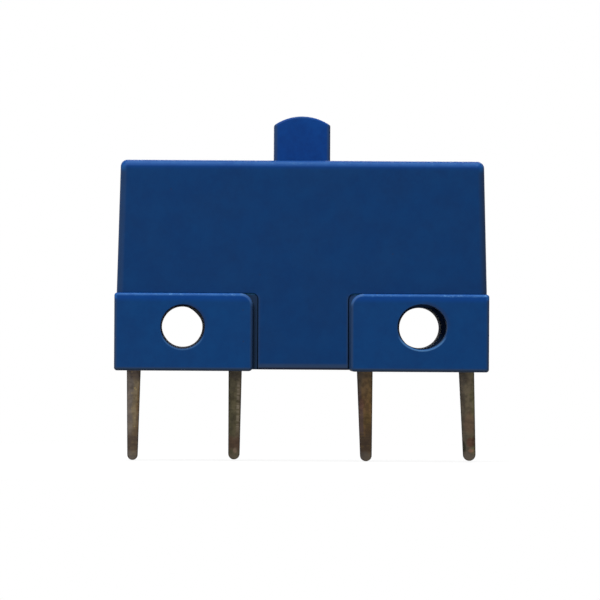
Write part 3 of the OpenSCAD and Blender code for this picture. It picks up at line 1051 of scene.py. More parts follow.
@dataclass(frozen=True)
class BasePlastic(Plastic):
    """Blue plastic of the base, with grime and painted shade in its bores, painted highlights on their rims
    and on the feet's corners, and painted shade in the gaps beside the web.
    """

    colour: Colour = (4, 49, 98)
    cloud: Colour = (6, 48, 96)
    light: Colour = (12, 78, 134)
    wear_and_light: Colour = (41, 90, 148)
    bright: Colour = (82, 130, 180)
    width: float = 0.26
    chipping: float = 0.8
    outline: float = 0.85
    bores: tuple[Span, Span] = ((-8.89, 1.66), (8.95, 1.62))
    entry: Span = (1.72, -0.5)
    oval: Point = (0.058, 0.06, 0.092)
    halo_reach: float = 0.3
    halo_rise: Span = (1.5, 2.4)
    halo_share: float = 0.4
    rim_band: Span = (0.13, 0.08)
    rim_rise: Span = (-0.5, -1.2)
    rim_shares: Span = (0.25, 0.6)
    wall_band: Span = (0.04, -0.02)
    wall_share: float = 0.85
    lit_rise: Span = (-1.1, -1.6)
    lit_depth: Span = (-4.0, -4.9)
    hem: float = -3.3
    hem_band: Span = (0.34, 0.14)
    hem_share: float = 0.7
    corner: Point = (4.6, 1.57, 0.95)
    corner_soft: tuple[Span, Span] = ((-0.1, 0.1), (-0.1, 0.35))
    ring_band: Point = (-0.24, -0.12, 0.05)
    ring_share: float = 0.5
    web: Band = (3.2, 3.7, 4.85, -3.1)
    shoulder: Span = (1.7, 0.9)
    roof: float = 2.53
    gap_share: float = 0.9
    crown_rise: Span = (2.36, 2.5)
    ring: Colour = (62, 94, 136)
    left_gap: Colour = (30, 45, 65)
    right_gap: Colour = (34, 56, 88)
    crown: Colour = (52, 110, 150)
    shade: Colour = (44, 64, 96)

    def recesses(self, place: Field, tone: Field) -> tuple[Value, Field]:
        """Paints grime and shade in the bores, a highlight on their rims and light in the right entry, a
        highlight on the feet's corners and shade in the gaps.

        Args:
            place: Place on the object, in millimetres.
            tone: Colour so far.

        Returns:
            Share of dirt, and the new colour.
        """
        x, y, z = place.split()
        wide, deep = abs(x), abs(y)
        at_right = x > 0.0

        # The hem, dust and painted shade along the feet's lower edges, stays on the outer sides, clear of the
        # underside and of the web.
        high, low = self.hem_band
        outside = (z > self.hem + HAIR) * (wide > self.web[1])
        hem = z.spread(self.hem + high, self.hem + low, 0, self.hem_share) * outside

        # The bores, of which the right one has a wider and slightly oval entry. Round them the halo is grime
        # and painted shade, heaviest at the upper right; the rim is a painted highlight on their lower rims;
        # the wall is painted shade inside them; and lit is painted light on the entry's lower wall.
        (left, left_radius), (right, right_radius) = self.bores
        in_entry = (y < self.entry[1]) * at_right
        off = x - at_right.spread(0, 1, left, right) - in_entry * self.oval[0]
        off = off / (in_entry * self.oval[2] + 1.0)
        rise = z - in_entry * self.oval[1]
        reach = at_right.spread(0, 1, left_radius, right_radius) + in_entry * (self.entry[0] - right_radius)
        past = off.hypot(rise) - reach
        halo = past.spread(self.halo_reach, 0.0) * (off + z).spread(*self.halo_rise) * self.halo_share
        rim = past.spread(*self.rim_band) * z.spread(*self.rim_rise) * at_right.spread(0, 1, *self.rim_shares)
        wall = past.spread(*self.wall_band, 0, self.wall_share)
        lit = wall * in_entry * z.spread(*self.lit_rise) * y.spread(*self.lit_depth)

        # The rounded inner upper corners of the feet, which get a painted highlight.
        across, up, radius = self.corner
        inward, higher = across - wide, z - up
        away = inward.hypot(higher)
        start, full, end = (radius + step for step in self.ring_band)
        quarter = inward.spread(*self.corner_soft[0]) * higher.spread(*self.corner_soft[1])
        ring = quarter * (away.spread(start, full) * (away < end)) * self.ring_share

        # The gaps beside the web, which are wider above the feet's shoulders, get painted shade, with painted
        # light at their tops.
        inner, outer, front, foot = self.web
        outer = (z > self.shoulder[0]) * self.shoulder[1] + outer
        gap = wide.between(inner, outer) * (deep < front) * z.between(foot, self.roof) * self.gap_share
        gap_shade_and_light = at_right.blend(self.left_gap, self.right_gap)
        gap_shade_and_light = z.spread(*self.crown_rise).blend(gap_shade_and_light, self.crown)
        return wall.most(gap), tone.coated(
            (halo, self.grime_and_shade),
            (hem, self.dust_and_shade),
            (rim, self.bright),
            (wall, in_entry.blend(self.grime_and_shade, self.shade)),
            (lit, self.wear_and_light),
            (ring, self.ring),
            (gap, gap_shade_and_light),
        )


@dataclass(frozen=True)
class Patch:
    """Patch of tarnish, or of painted shade where a prong leaves the moulding: its middle and half sizes,
    across and down a prong, its strength and its colour.
    """

    across: float
    down: float
    wide: float
    tall: float
    share: float
    colour: Colour

    def coat(self, effects: Effects, across: Field, down: Field, wander: Field) -> tuple[Field, Colour]:
        """Makes a coat of the patch.

        Args:
            effects: Shared effects.
            across: Place across the prong.
            down: Place down the prong.
            wander: How far the patch's edge wanders.

        Returns:
            Share and colour of the coat.
        """
        spot = {"at": self.across, "level": self.down, "wide": self.wide, "tall": self.tall}
        return effects.patch(across, down=down, wander=wander, share=self.share, **spot), self.colour


@dataclass(frozen=True)
class Tarnished(Finish):
    """Sheet metal with a dull plating that has tarnished unevenly down its prong, with painted light near the
    top of the prong and painted shade further down.
    """

    left: Colour
    middle: Colour
    right: Colour
    glint: Colour
    prong: Band
    patches: tuple[Patch, ...]
    bounds: Span = (-0.3, 0.5)
    soft: Span = (0.25, 0.2)
    wander: float = 0.35
    ticks: float = 0.0
    ticks_across: Band = (0.2, 0.4, 0.65, 0.8)
    ticks_down: Band = (0.1, 0.16, 0.6, 0.7)
    flecks: float = 0.0
    flecks_across: Band = (-0.45, -0.2, 0.5, 0.75)
    flecks_down: Span = (0.72, 0.62)
    rim: Colour = (34, 28, 26)
    rim_share: float = 0.75
    rim_band: Span = (0.76, 0.98)
    mottling: float = 0.3
    scratches: float = 0.15
    top_light: Colour = (140, 130, 116)
    top_light_to: Point = (0.38, 0.12, 0.08)
    low_shade: Colour = (10, 8, 6)
    low_shade_to: Point = (0.38, 0.6, 0.25)
    shift: float = 0.0
    roughness: float = 0.45

    def sockets(self, place: Field, effects: Effects) -> Inputs:
        """Wires the finish.

        Args:
            place: Place on the object, in millimetres.
            effects: Shared effects.

        Returns:
            Field or value for each input of the shader.
        """
        middle, lean, half, tip_half = self.prong
        across = effects.across(place, middle=middle, lean=lean, half=half, tip_half=tip_half)
        down = effects.down(place)
        moved = place.stretched((1, 1, 1), (self.shift, 0, self.shift))
        wander = moved.stretched((1, 1, 0.5)).noise(1.6, 3.0).spread(*COMMON, -self.wander, self.wander)
        over = across + wander
        first, second = (over.spread(at - soft, at + soft) for at, soft in zip(self.bounds, self.soft))
        mottle = effects.clouds(moved, scale=2.6, level=0.52, soft=0.12)
        fine = effects.marks(moved.stretched((0.4, 1, 1.6)), scale=5.0, cut=0.52, soft=0.12)
        rows = effects.marks(moved.stretched((0.05, 0.05, 2.2)), scale=1.9, cut=0.46, soft=0.06)
        ticks = rows * across.band(*self.ticks_across) * down.band(*self.ticks_down) * self.ticks
        grains = effects.specks(moved, scale=3.4, size=0.34, share=0.4)
        flecks = grains * across.band(*self.flecks_across) * down.spread(*self.flecks_down) * self.flecks
        tone = first.blend(self.left, self.middle).coated(
            (second, self.right),
            *(patch.coat(effects, across, down, wander) for patch in self.patches),
            (mottle * self.mottling, self.rim),
            (fine * self.scratches, self.glint),
            (ticks, self.glint),
            (flecks, self.glint),
            # Painted light makes the prong lighter near its top, and painted shade darker further down.
            (down.spread(*self.top_light_to[:2], 0, self.top_light_to[2]), self.top_light),
            (down.spread(*self.low_shade_to[:2], 0, self.low_shade_to[2]), self.low_shade),
            (abs(across).spread(*self.rim_band, 0, self.rim_share), self.rim),
        )
        bump = place.graph.field("Bump", {"Height": fine, "Strength": 0.3, "Distance": 3e-6})
        rough = mottle.spread(0, 1, self.roughness - 0.06, self.roughness + 0.1)
        return {"Base Color": tone, "Metallic": 0.9, "Roughness": rough, "Normal": bump}


@dataclass(frozen=True)
class CleanMetal(Finish):
    """Bright metal with marks from drawing, rolling or turning."""

    colour: Colour
    film: Colour
    roughness: float = 0.3
    run: Point = (0.1, 1.0, 1.0)
    scale: float = 7.0

    def sockets(self, place: Field, effects: Effects) -> Inputs:
        """Wires the finish.

        Args:
            place: Place on the object, in millimetres.
            effects: Shared effects.

        Returns:
            Field or value for each input of the shader.
        """
        lines = effects.marks(place.stretched(self.run), scale=self.scale, cut=0.45, soft=0.2)
        tone = effects.clouds(place, scale=0.5, level=0.55, soft=0.2).blend(self.colour, self.film)
        bump = place.graph.field("Bump", {"Height": lines, "Strength": 0.25, "Distance": 2e-6})
        rough = lines.spread(0, 1, self.roughness, self.roughness + 0.12)
        return {"Base Color": tone, "Metallic": 1.0, "Roughness": rough, "Normal": bump}


# ---------------------------------------------------------------------------------------------------------
# Sub-assemblies
# ---------------------------------------------------------------------------------------------------------


def node_box(node: str) -> tuple[Vector, Vector]:
    """Lowest and highest corners of a CAD node, in millimetres."""
    low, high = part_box(node)
    return low / MM, high / MM


@dataclass(frozen=True)
class Levels:
    """Heights and widths that several pieces share, in millimetres."""

    foot_low: float
    foot_top: float
    case_top: float
    tip_low: float
    apex: float
    tongue_low: float
    half_width: float
    half_depth: float
    foot_inner: float = 3.65

    @classmethod
    def from_frame(cls, foot_height: float = 5.82) -> Levels:
        """Reads the shared sizes from the CAD nodes.

        Args:
            foot_height: Height of the feet.

        Returns:
            The shared sizes.
        """
        base_low, base_high = node_box("base")
        cover_low, cover_high = node_box("cover")
        return cls(
            foot_low=base_low.z,
            foot_top=base_low.z + foot_height,
            case_top=cover_high.z,
            tip_low=node_box("terminal_no_right")[0].z,
            apex=node_box("plunger")[1].z,
            tongue_low=cover_low.z,
            half_width=base_high.x,
            half_depth=base_high.y,
        )


class Part:
    """Sub-assembly that is modelled as one piece and stands for CAD nodes.

    Its body is None where it is set on no body.
    """

    body: Body | None
    slot: str
    nodes: tuple[str, ...]

    def model(self) -> Blank:
        """Models the whole piece, where its CAD nodes are.

        Returns:
            The workpiece.
        """
        raise NotImplementedError

    def dress(self, material: bpy.types.Material) -> bpy.types.Object:
        """Models the piece, gives it its finish and sets it on the frame."""
        return self.model().finish(self.body, self.slot, material, self.nodes)


@dataclass
class Cover(Part):
    """Drafted cap whose front and back run down as tongues between the feet."""

    levels: Levels
    half_width: float = 13.83
    draft: float = math.radians(1.5)
    tongue_left: float = -3.25
    tongue_right: float = 3.47
    tongue_fillet: float = 0.45
    edge_radius: float = 0.5
    small_radius: float = 0.04
    rim_radius: float = 0.08
    roof: float = 1.0
    cavity: Span = (12.55, 3.5)
    cavity_radius: float = 0.5
    wall: float = 0.3
    opening: Span = (2.2, 1.9)
    opening_radius: float = 0.28
    body = Body.CASE
    slot = "housing"
    nodes = ("cover",)

    def shell(self) -> Blank:
        """Models the drafted outside with its tongues.

        Returns:
            The workpiece.
        """
        rim, top, low = self.levels.foot_top, self.levels.case_top, self.levels.tongue_low
        slope = math.tan(self.draft)
        depth = node_box("cover")[1].y - (rim - low) * slope
        width = self.half_width
        made = Blank.block("cover_shell", (-width, -depth, rim), (width, depth, top))
        inset = (top - rim) * slope
        made.pick(Element.FACE, lambda at, way: way.z > ALONG)
        made.resize(((width - inset) / width, (depth - inset) / depth, 1), (0, 0, top))
        left, right = self.tongue_left, self.tongue_right
        made.slice((left, 0, 0), (1, 0, 0)).slice((right, 0, 0), (1, 0, 0))
        made.pick(Element.FACE, lambda at, way: way.z < -ALONG and left < at.x < right)
        wider = 1 + (rim - low) * slope / depth
        made.extrude(0, 0, low - rim).resize((1, wider, 1), (0, 0, low)).merge_flats()
        made.pick(Element.EDGE, lambda at, way: near(at.z, rim) and (near(at.x, left) or near(at.x, right)))
        made.bevel(self.tongue_fillet, 6)
        made.pick(
            Element.EDGE,
            lambda at, way: near(at.z, top) or (abs(at.x) > width - 1 and abs(way.z) > ALONG),
        )
        return made.bevel(self.edge_radius, 8)

    def _lower_edge(self, at: Vector, way: Vector) -> bool:
        """Tells whether an edge belongs to the outline of the tongues or of the cap's rim.

        Args:
            at: Middle of the edge.
            way: Direction of the edge.

        Returns:
            True if it does.
        """
        at_side = abs(at.x) > self.cavity[0] + self.wall
        outside = at_side or abs(at.y) > self.cavity[1] + self.wall
        crosses = near(abs(way.y), 1) and not at_side and not near(at.z, self.levels.tongue_low)
        return at.z < self.levels.foot_top + HAIR and outside and not crosses

    def model(self) -> Blank:
        """Models the cover.

        Returns:
            The workpiece.
        """
        made = self.shell()
        low, top = self.levels.tongue_low, self.levels.case_top
        x, y = self.cavity
        hollow = Blank.block("hollow", (-x, -y, low - 1), (x, y, top - self.roof))
        hollow.round_uprights(self.cavity_radius)
        x, y = self.opening
        hole = Blank.block("opening", (-x, -y, top - 2 * self.roof), (x, y, top + 1))
        made.combine(Cut.AWAY, hollow, hole.round_uprights(self.opening_radius))
        made.pick(Element.EDGE, self._lower_edge).bevel(self.small_radius, 3)
        made.pick(
            Element.EDGE,
            lambda at, way: near(at.z, top) and abs(at.x) < x + HAIR and abs(at.y) < y + HAIR,
        )
        return made.bevel(self.rim_radius, 3)


@dataclass
class Base(Part):
    """Moulding with two feet, a web between them and a plug that closes the cover."""

    levels: Levels
    corner_radii: tuple[float, ...] = (0.3, 0.22, 0.22, 0.95)
    face_radius: float = 0.25
    hole_x: Span = (-8.89, 8.95)
    hole_radii: Span = (1.64, 1.51)
    entry_radius: float = 1.69
    entry_shift: Span = (0.058, 0.06)
    entry_stretch: float = 1.092
    entry_depth: float = 4.6
    rim_radius: float = 0.06
    warp: tuple[Span, ...] = ((45, -0.06), (180, 0.03), (-60, 0.02))
    web_depth: float = 3.45
    ledges: tuple[Span, ...] = ((3.31, 4.6), (3.53, 4.6))
    ledge_radius: float = 0.36
    ledge_rise: float = 0.2
    ledge_drop: float = 0.006
    plug: Point = (12.5, 3.44, 1.8)
    plug_radii: Span = (0.45, 0.15)
    well_radius: float = 2.2
    well_low: float = -1.5
    spigot: Span = (1.1, 1.2)
    uneven: float = 0.012
    uneven_pitch: float = 0.27
    uneven_ends: Span = (0.7, 0.5)
    uneven_slack: float = 0.1
    uneven_band: Span = (0.005, 0.17)
    gap_depth: float = 0.33
    gap_halves: tuple[Span, ...] = ((0.545, 0.52), (0.745, 0.61))
    outer_inset: float = 1.5
    outer_step: Span = (11.08, 1.37)
    inner_x: float = 4.9
    inner_step: Span = (0.63, 3.97)
    body = Body.CASE
    slot = "housing"
    nodes = ("base",)

    def foot(self, side: Side) -> Blank:
        """Models one foot, whose upper front edge is a little uneven, with its fixing hole.

        Args:
            side: Half of the switch.

        Returns:
            The workpiece.
        """
        low, top, depth = self.levels.foot_low, self.levels.foot_top, self.levels.half_depth
        inner, outer = self.levels.foot_inner, self.levels.half_width
        made = Blank.block(f"foot_{side.half}", (inner, -depth, low), (outer, depth, top))
        corners = ((inner, low), (outer, low), (outer, top), (inner, top))
        for (x, z), radius in zip(corners, self.corner_radii):
            made.pick(
                Element.EDGE,
                lambda at, way, x=x, z=z: near(at.x, x) and near(at.z, z) and near(at.y, 0),
            )
            made.bevel(radius, 7)
        made.pick(Element.EDGE, lambda at, way: near(abs(at.y), depth)).bevel(self.face_radius, 5)
        start, end = inner + self.uneven_ends[0], outer - self.uneven_ends[1]
        for i in range(int((end - start) / self.uneven_pitch)):
            made.slice((start + i * self.uneven_pitch, 0, 0), (1, 0, 0))
        least, most = self.uneven_band
        made.pick(
            Element.VERTEX,
            lambda at, way: least < top - at.z < most
            and least < at.y + depth < most
            and start - self.uneven_slack < at.x < end + self.uneven_slack,
        )
        made.jitter(self.uneven, 3 + side.value).merge_flats().place(side)
        self.drill(made, side)
        return made

    def drill(self, foot: Blank, side: Side) -> None:
        """Makes the fixing hole of a foot.

        Args:
            foot: The foot.
            side: Half of the switch.
        """
        depth, x = self.levels.half_depth, self.hole_x[side is Side.RIGHT]
        front, back = self.hole_radii
        foot.combine(Cut.AWAY, Blank.rod("bore", front, (x, -depth - HAIR, 0), (x, depth + HAIR, 0), back))
        rims = [(back, (x, depth, 0.0), 1.0), (front, (x, -depth, 0.0), 1.0)]
        if side is Side.RIGHT:
            across, up = x + self.entry_shift[0], self.entry_shift[1]
            start, end = (across, -depth - 1, up), (across, self.entry_depth - depth, up)
            entry = Blank.rod("entry", self.entry_radius, start, end)
            foot.combine(Cut.AWAY, entry.pick_all().resize((self.entry_stretch, 1, 1), start))
            rims[1] = (self.entry_radius, (across, -depth, up), self.entry_stretch)
        for radius, middle, stretch in rims:
            foot.pick(
                Element.EDGE,
                lambda at, way, r=radius, m=middle, k=stretch: near(at.y, m[1])
                and near(math.hypot((at.x - m[0]) / k, at.z - m[2]), r, 2 * HAIR),
            )
            foot.bevel(self.rim_radius, 4)
        if side is Side.LEFT:
            for degrees, out in self.warp:
                along = (math.cos(math.radians(degrees)), math.sin(math.radians(degrees)))
                spot = (x + back * along[0], depth - self.rim_radius, back * along[1])
                foot.nudge(spot, (out * along[0], 0, out * along[1]), 1.0)

    def model(self) -> Blank:
        """Models the base.

        Returns:
            The workpiece.
        """
        low, foot, inner = self.levels.foot_low, self.levels.foot_top, self.levels.foot_inner
        made = Blank.block(
            "base_moulding",
            (-inner - 1, -self.web_depth, self.levels.tongue_low),
            (inner + 1, self.web_depth, foot),
        )
        x, y, height = self.plug
        top = foot + height
        plug = Blank.block("plug", (-x, -y, foot - 1), (x, y, top)).round_uprights(self.plug_radii[0])
        plug.pick(Element.EDGE, lambda at, way: at.z > top - HAIR).bevel(self.plug_radii[1], 3)
        made.combine(Cut.JOIN, self.foot(Side.LEFT), self.foot(Side.RIGHT), plug)
        for side, (start, depth) in zip(Side, self.ledges):
            rise = foot - self.ledge_drop
            ledge = Blank.block("ledge", (start, -depth, low + self.ledge_rise), (inner + 1, depth, rise))
            ledge.pick(Element.EDGE, lambda at, way, x=start, z=rise: near(at.x, x) and near(at.z, z))
            made.combine(Cut.JOIN, ledge.bevel(self.ledge_radius, 6).place(side))
        well = Blank.rod("well", self.well_radius, (0, 0, self.well_low), (0, 0, top + 1))
        radius, rise = self.spigot
        crown = self.well_low + rise
        spigot = Blank.rod("spigot", radius, (0, 0, self.well_low - 0.5), (0, 0, crown))
        spigot.pick(Element.EDGE, lambda at, way: at.z > crown - HAIR).bevel(self.plug_radii[1], 3)
        made.combine(Cut.AWAY, well).combine(Cut.JOIN, spigot)
        outer_x, deep = self.levels.half_width - self.outer_inset, self.gap_depth
        (step_x, step_z), (step_y, level) = self.outer_step, self.inner_step
        for side, (outer, half) in zip(Side, self.gap_halves):
            cuts = (
                ((outer_x - outer, -deep, low - 1), (outer_x + outer, deep, top + 1)),
                ((step_x, -deep, step_z), (outer_x + outer, deep, top + 1)),
                ((self.inner_x - half, -deep, low - 1), (self.inner_x + half, deep, top + 1)),
                ((self.inner_x - half, -deep, level), (self.inner_x + half, step_y, top + 1)),
            )
            made.combine(Cut.AWAY, *(Blank.block("slot", *corners).place(side) for corners in cuts))
        return made


@dataclass
class PushButton(Part):
    """Domed plunger with its stop flange, stem and notches."""

    levels: Levels
    half_width: float = 2.1
    half_depth: float = 1.8
    dome_radius: float = 3.65
    shoulder_radius: float = 0.17
    edge_radius: float = 0.16
    flange: Span = (10.35, 11.35)
    flange_side: float = 0.8
    flange_radius: float = 0.12
    stem: Point = (1.5, 1.3, 6.225)
    notch: Span = (7.725, 0.45)
    spigot: Span = (1.1, 1.2)
    spigot_radius: float = 0.15
    body = Body.PLUNGER
    slot = "button"
    nodes = ("plunger",)

    def button(self) -> Blank:
        """Models the part that is pressed.

        Returns:
            The workpiece.
        """
        x, y, low = self.half_width, self.half_depth, self.flange[0]
        centre = self.levels.apex - self.dome_radius
        # A shoulder's middle lies one shoulder radius inside both the side and the dome.
        across, reach = x - self.shoulder_radius, self.dome_radius - self.shoulder_radius
        up = centre + math.sqrt(reach**2 - across**2)
        steep = math.degrees(math.acos(across / reach))
        side = arc((across, up), self.shoulder_radius, 0, steep, 5)
        dome = arc((0, centre), self.dome_radius, steep, 180 - steep, 28)
        left = [(-a, b) for a, b in reversed(side)]
        outline = [(x, low), *side, *dome[1:-1], *left, (-x, low)]
        made = Blank.sheet("push_button", [(a, -y, b) for a, b in outline])
        made.pick_all().extrude(0, 2 * y, 0).weld()
        made.pick(Element.EDGE, lambda at, way: near(abs(at.y), y) and at.z > low + HAIR)
        return made.bevel(self.edge_radius, 5)

    def model(self) -> Blank:
        """Models the plunger.

        Returns:
            The workpiece.
        """
        made = self.button()
        x, y = self.half_width + self.flange_side, self.half_depth + self.flange_side
        low, high = self.flange
        flange = Blank.block("flange", (-x, -y, low), (x, y, high))
        flange.pick(Element.EDGE, lambda at, way: True).bevel(self.flange_radius, 3)
        x, y, end = self.stem
        stem = Blank.block("stem", (-x, -y, end), (x, y, (low + high) / 2))
        stem.pick(Element.EDGE, lambda at, way: at.z < low).bevel(self.flange_radius, 3)
        radius, rise = self.spigot
        spigot = Blank.rod("spigot", radius, (0, 0, end - rise), (0, 0, end + 1))
        spigot.pick(Element.EDGE, lambda at, way: near(at.z, end - rise)).bevel(self.spigot_radius, 3)
        made.combine(Cut.JOIN, flange, stem, spigot)
        level, depth = self.notch
        for side in Side:
            x = side.value * (self.stem[0] - depth + 1)
            made.combine(Cut.AWAY, Blank.rod("notch", 1, (x, -3, level), (x, 3, level), sides=4))
        return made


@dataclass
class Terminal(Part):
    """Sheet metal terminal: a tapered prong, a leg and a plate for its contact."""

    levels: Levels
    side: Side
    prong_x: float
    width: float
    tip_width: float
    lean: float
    shorter: float
    throw: Throw = Throw.CLOSED
    plate_level: float = 4.3
    leg: Span | None = None
    thickness: float = 0.6
    bend_radius: float = 0.3
    plate_half_depth: float = 1.8
    plate_end: float = 10.85
    plate_corner: float = 0.5
    relief: float = 0.4
    shoulder: float = 1.4
    contact_x: float = 9.5
    shank_radius: float = 0.6
    edge_radius: float = 0.1
    body = Body.CASE
    slot = "tinned_brass"

    @property
    def nodes(self) -> tuple[str, ...]:
        """CAD node of the terminal."""
        return (f"terminal_{self.throw.value}_{self.side.half}",)

    def outline(self) -> list[Point]:
        """Outlines the front of the prong and leg, up to where the bend starts.

        Returns:
            Corners of the outline, in order.
        """
        radius = self.tip_width / 2
        middle = (self.prong_x + self.lean, self.levels.tip_low + self.shorter + radius)
        tip = arc(middle, radius, 180, 360, 14)
        left, right = self.prong_x - self.width / 2, self.prong_x + self.width / 2
        top = self.plate_level - self.bend_radius
        points = [(left, self.levels.foot_low), *tip, (right, self.levels.foot_low)]
        if self.leg:
            start, end = self.leg
            seat = self.levels.foot_top
            points += [(right, seat), (end, seat), (end, top), (start, top)]
            points += [(start, self.shoulder), (left, self.shoulder)]
        else:
            points += [(right, top), (left, top)]
        return [(x, 0.0, z) for x, z in points]

    def model(self) -> Blank:
        """Models the terminal for the right half and mirrors it for the left.

        Returns:
            The workpiece.
        """
        made = Blank.sheet(f"terminal_{'outer' if self.leg else 'inner'}_{self.side.half}", self.outline())
        start, end = self.leg or (self.prong_x - self.width / 2, self.prong_x + self.width / 2)
        top = self.plate_level - self.bend_radius
        turn = self.bend_radius + self.thickness / 2
        depth, level = self.plate_half_depth, top + turn
        made.pick(Element.EDGE, lambda at, way: near(at.z, top) and start < at.x < end)
        made.bend((0, turn, top), (1, 0, 0), -90, 6)
        made.pick(Element.EDGE, lambda at, way: near(at.z, level) and near(at.y, turn) and abs(way.x) > ALONG)
        made.extrude(0, depth - turn, 0)
        near_x, sign = (start, -1) if self.leg else (end, 1)
        free = near_x + sign * self.relief
        far = self.contact_x - (self.plate_end - self.contact_x) if self.leg else self.plate_end
        made.pick(
            Element.EDGE,
            lambda at, way: near(at.z, level) and near(at.x, near_x) and abs(way.y) > ALONG,
        )
        made.extrude(free - near_x, 0, 0).extrude(far - free, 0, 0)
        made.pick(
            Element.EDGE,
            lambda at, way: near(at.z, level)
            and near(at.y, turn)
            and abs(way.x) > ALONG
            and sign * (at.x - free) > 0,
        )
        made.extrude(0, -turn - depth, 0)
        made.pick(
            Element.VERTEX,
            lambda at, way: near(at.z, level) and near(at.x, far) and near(abs(at.y), depth),
        )
        made.bevel(self.plate_corner, 5, corners=True).weld()
        made.modify("SOLIDIFY", thickness=self.thickness, offset=0, use_even_offset=True)
        ends = (self.contact_x, 0, level - 1), (self.contact_x, 0, level + 1)
        made.combine(Cut.AWAY, Blank.rod("shank", self.shank_radius, *ends))
        return made.round_edges(self.edge_radius).place(self.side)


@dataclass
class Contact(Part):
    """Riveted contact, or a welded tip: a disc with a crowned face, with or without a shank."""

    name: str
    nodes: tuple[str, ...]
    body: Body
    radius: float
    height: float
    faces_up: bool
    shank: float = 0.0
    shank_radius: float = 0.6
    crown: float = 6.0
    edge: float = 0.08
    chamfer: Span = (0.03, 0.04)
    dish: Span = (0.3, 0.02)
    steps: int = 6
    slot = "silver"

    def model(self) -> Blank:
        """Models the contact.

        Returns:
            The workpiece.
        """
        sag = self.crown - math.sqrt(self.crown**2 - self.radius**2)
        shares = [i / self.steps for i in range(self.steps)]
        face = [(self.radius * share, self.height - sag * share**2) for share in shares]
        face += arc((self.radius - self.edge, self.height - sag - self.edge), self.edge, 70, 0, 3)
        rim, end = self.chamfer
        foot = [(self.radius, rim), (self.radius - rim, 0.0)]
        if self.shank:
            stem, low, (dish, rise) = self.shank_radius, -self.shank, self.dish
            foot += [(stem, 0.0), (stem, low + end), (stem - end, low), (dish, low + rise), (0.0, low + rise)]
        else:
            foot.append((0.0, 0.0))
        made = Blank.turned(self.name, face + foot, 64)
        if not self.faces_up:
            made.pick_all().resize((1, 1, -1), (0, 0, 0)).weld()
        low, high = node_box(self.nodes[0])
        level = high.z - self.height if self.faces_up else low.z + self.height
        return made.pick_all().move((low.x + high.x) / 2, 0, level)


@dataclass
class Bridge(Part):
    """Flat copper strip with narrower ends and a window round the plunger's stem."""

    length: float = 10.68
    half_end: float = 1.4
    wide_to: float = 5.7
    neck_to: float = 6.7
    corner: float = 0.6
    window: Point = (5.0, 1.9, 0.3)
    edge: float = 0.04
    body = Body.BRIDGE
    slot = "copper_strip"
    nodes = ("contact_bridge",)

    def model(self) -> Blank:
        """Models the strip.

        Returns:
            The workpiece.
        """
        low, high = node_box("contact_bridge")
        wide, level = high.y, (low.z + high.z) / 2
        half = [(self.length, self.half_end), (self.neck_to, self.half_end), (self.wide_to, wide)]
        back = half + [(-x, y) for x, y in reversed(half)]
        outline = back + [(x, -y) for x, y in reversed(back)]
        made = Blank.sheet("bridge_strip", [(x, y, level) for x, y in outline])
        made.pick(Element.VERTEX, lambda at, way: True).bevel(self.corner, 5, corners=True)
        made.weld().modify("SOLIDIFY", thickness=high.z - low.z, offset=0)
        x, y, radius = self.window
        window = Blank.block("window", (-x, -y, low.z - 1), (x, y, high.z + 1)).round_uprights(radius, 5)
        return made.combine(Cut.AWAY, window).round_edges(self.edge, 2)


@dataclass
class ReturnSpring(Part):
    """Round wire coil between the base and the plunger's stem."""

    radius: float = 1.5
    wire: float = 0.4
    turns: int = 8
    closed_pitch: float = 1.1
    steps: int = 28
    ends: Span = (-1.495, 6.225)
    travel: float = 2.2
    body = Body.CASE
    slot = "spring_steel"
    nodes = ("return_spring",)

    def rise(self, turn: float, height: float) -> float:
        """Height of the wire's middle after some turns: closed ones at both ends, an even pitch between.

        Args:
            turn: Turns from the lower end.
            height: Height of the wire's middle at the upper end.

        Returns:
            The height above the lower end.
        """
        closed = self.closed_pitch * self.wire
        pitch = (height - 2 * closed) / (self.turns - 2)
        if turn < 1:
            return closed * turn
        if turn > self.turns - 1:
            return height - closed * (self.turns - turn)
        return closed + pitch * (turn - 1)

    def model(self) -> Blank:
        """Models the coil.

        Returns:
            The workpiece.
        """
        low, high = self.ends
        height = high - low - self.wire
        points = []
        for i in range(self.turns * self.steps + 1):
            angle = math.tau * i / self.steps
            level = low + self.wire / 2 + self.rise(i / self.steps, height)
            points.append((self.radius * math.cos(angle), self.radius * math.sin(angle), level))
        return Blank.wire("return_spring_coil", points, self.wire / 2)

    def dress(self, material: bpy.types.Material) -> bpy.types.Object:
        """Models and dresses the coil, and gives it a mesh of its own.

        Args:
            material: Its finish.

        Returns:
            The finished piece.
        """
        made = super().dress(material)
        low, high = self.ends
        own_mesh(made)
        return made


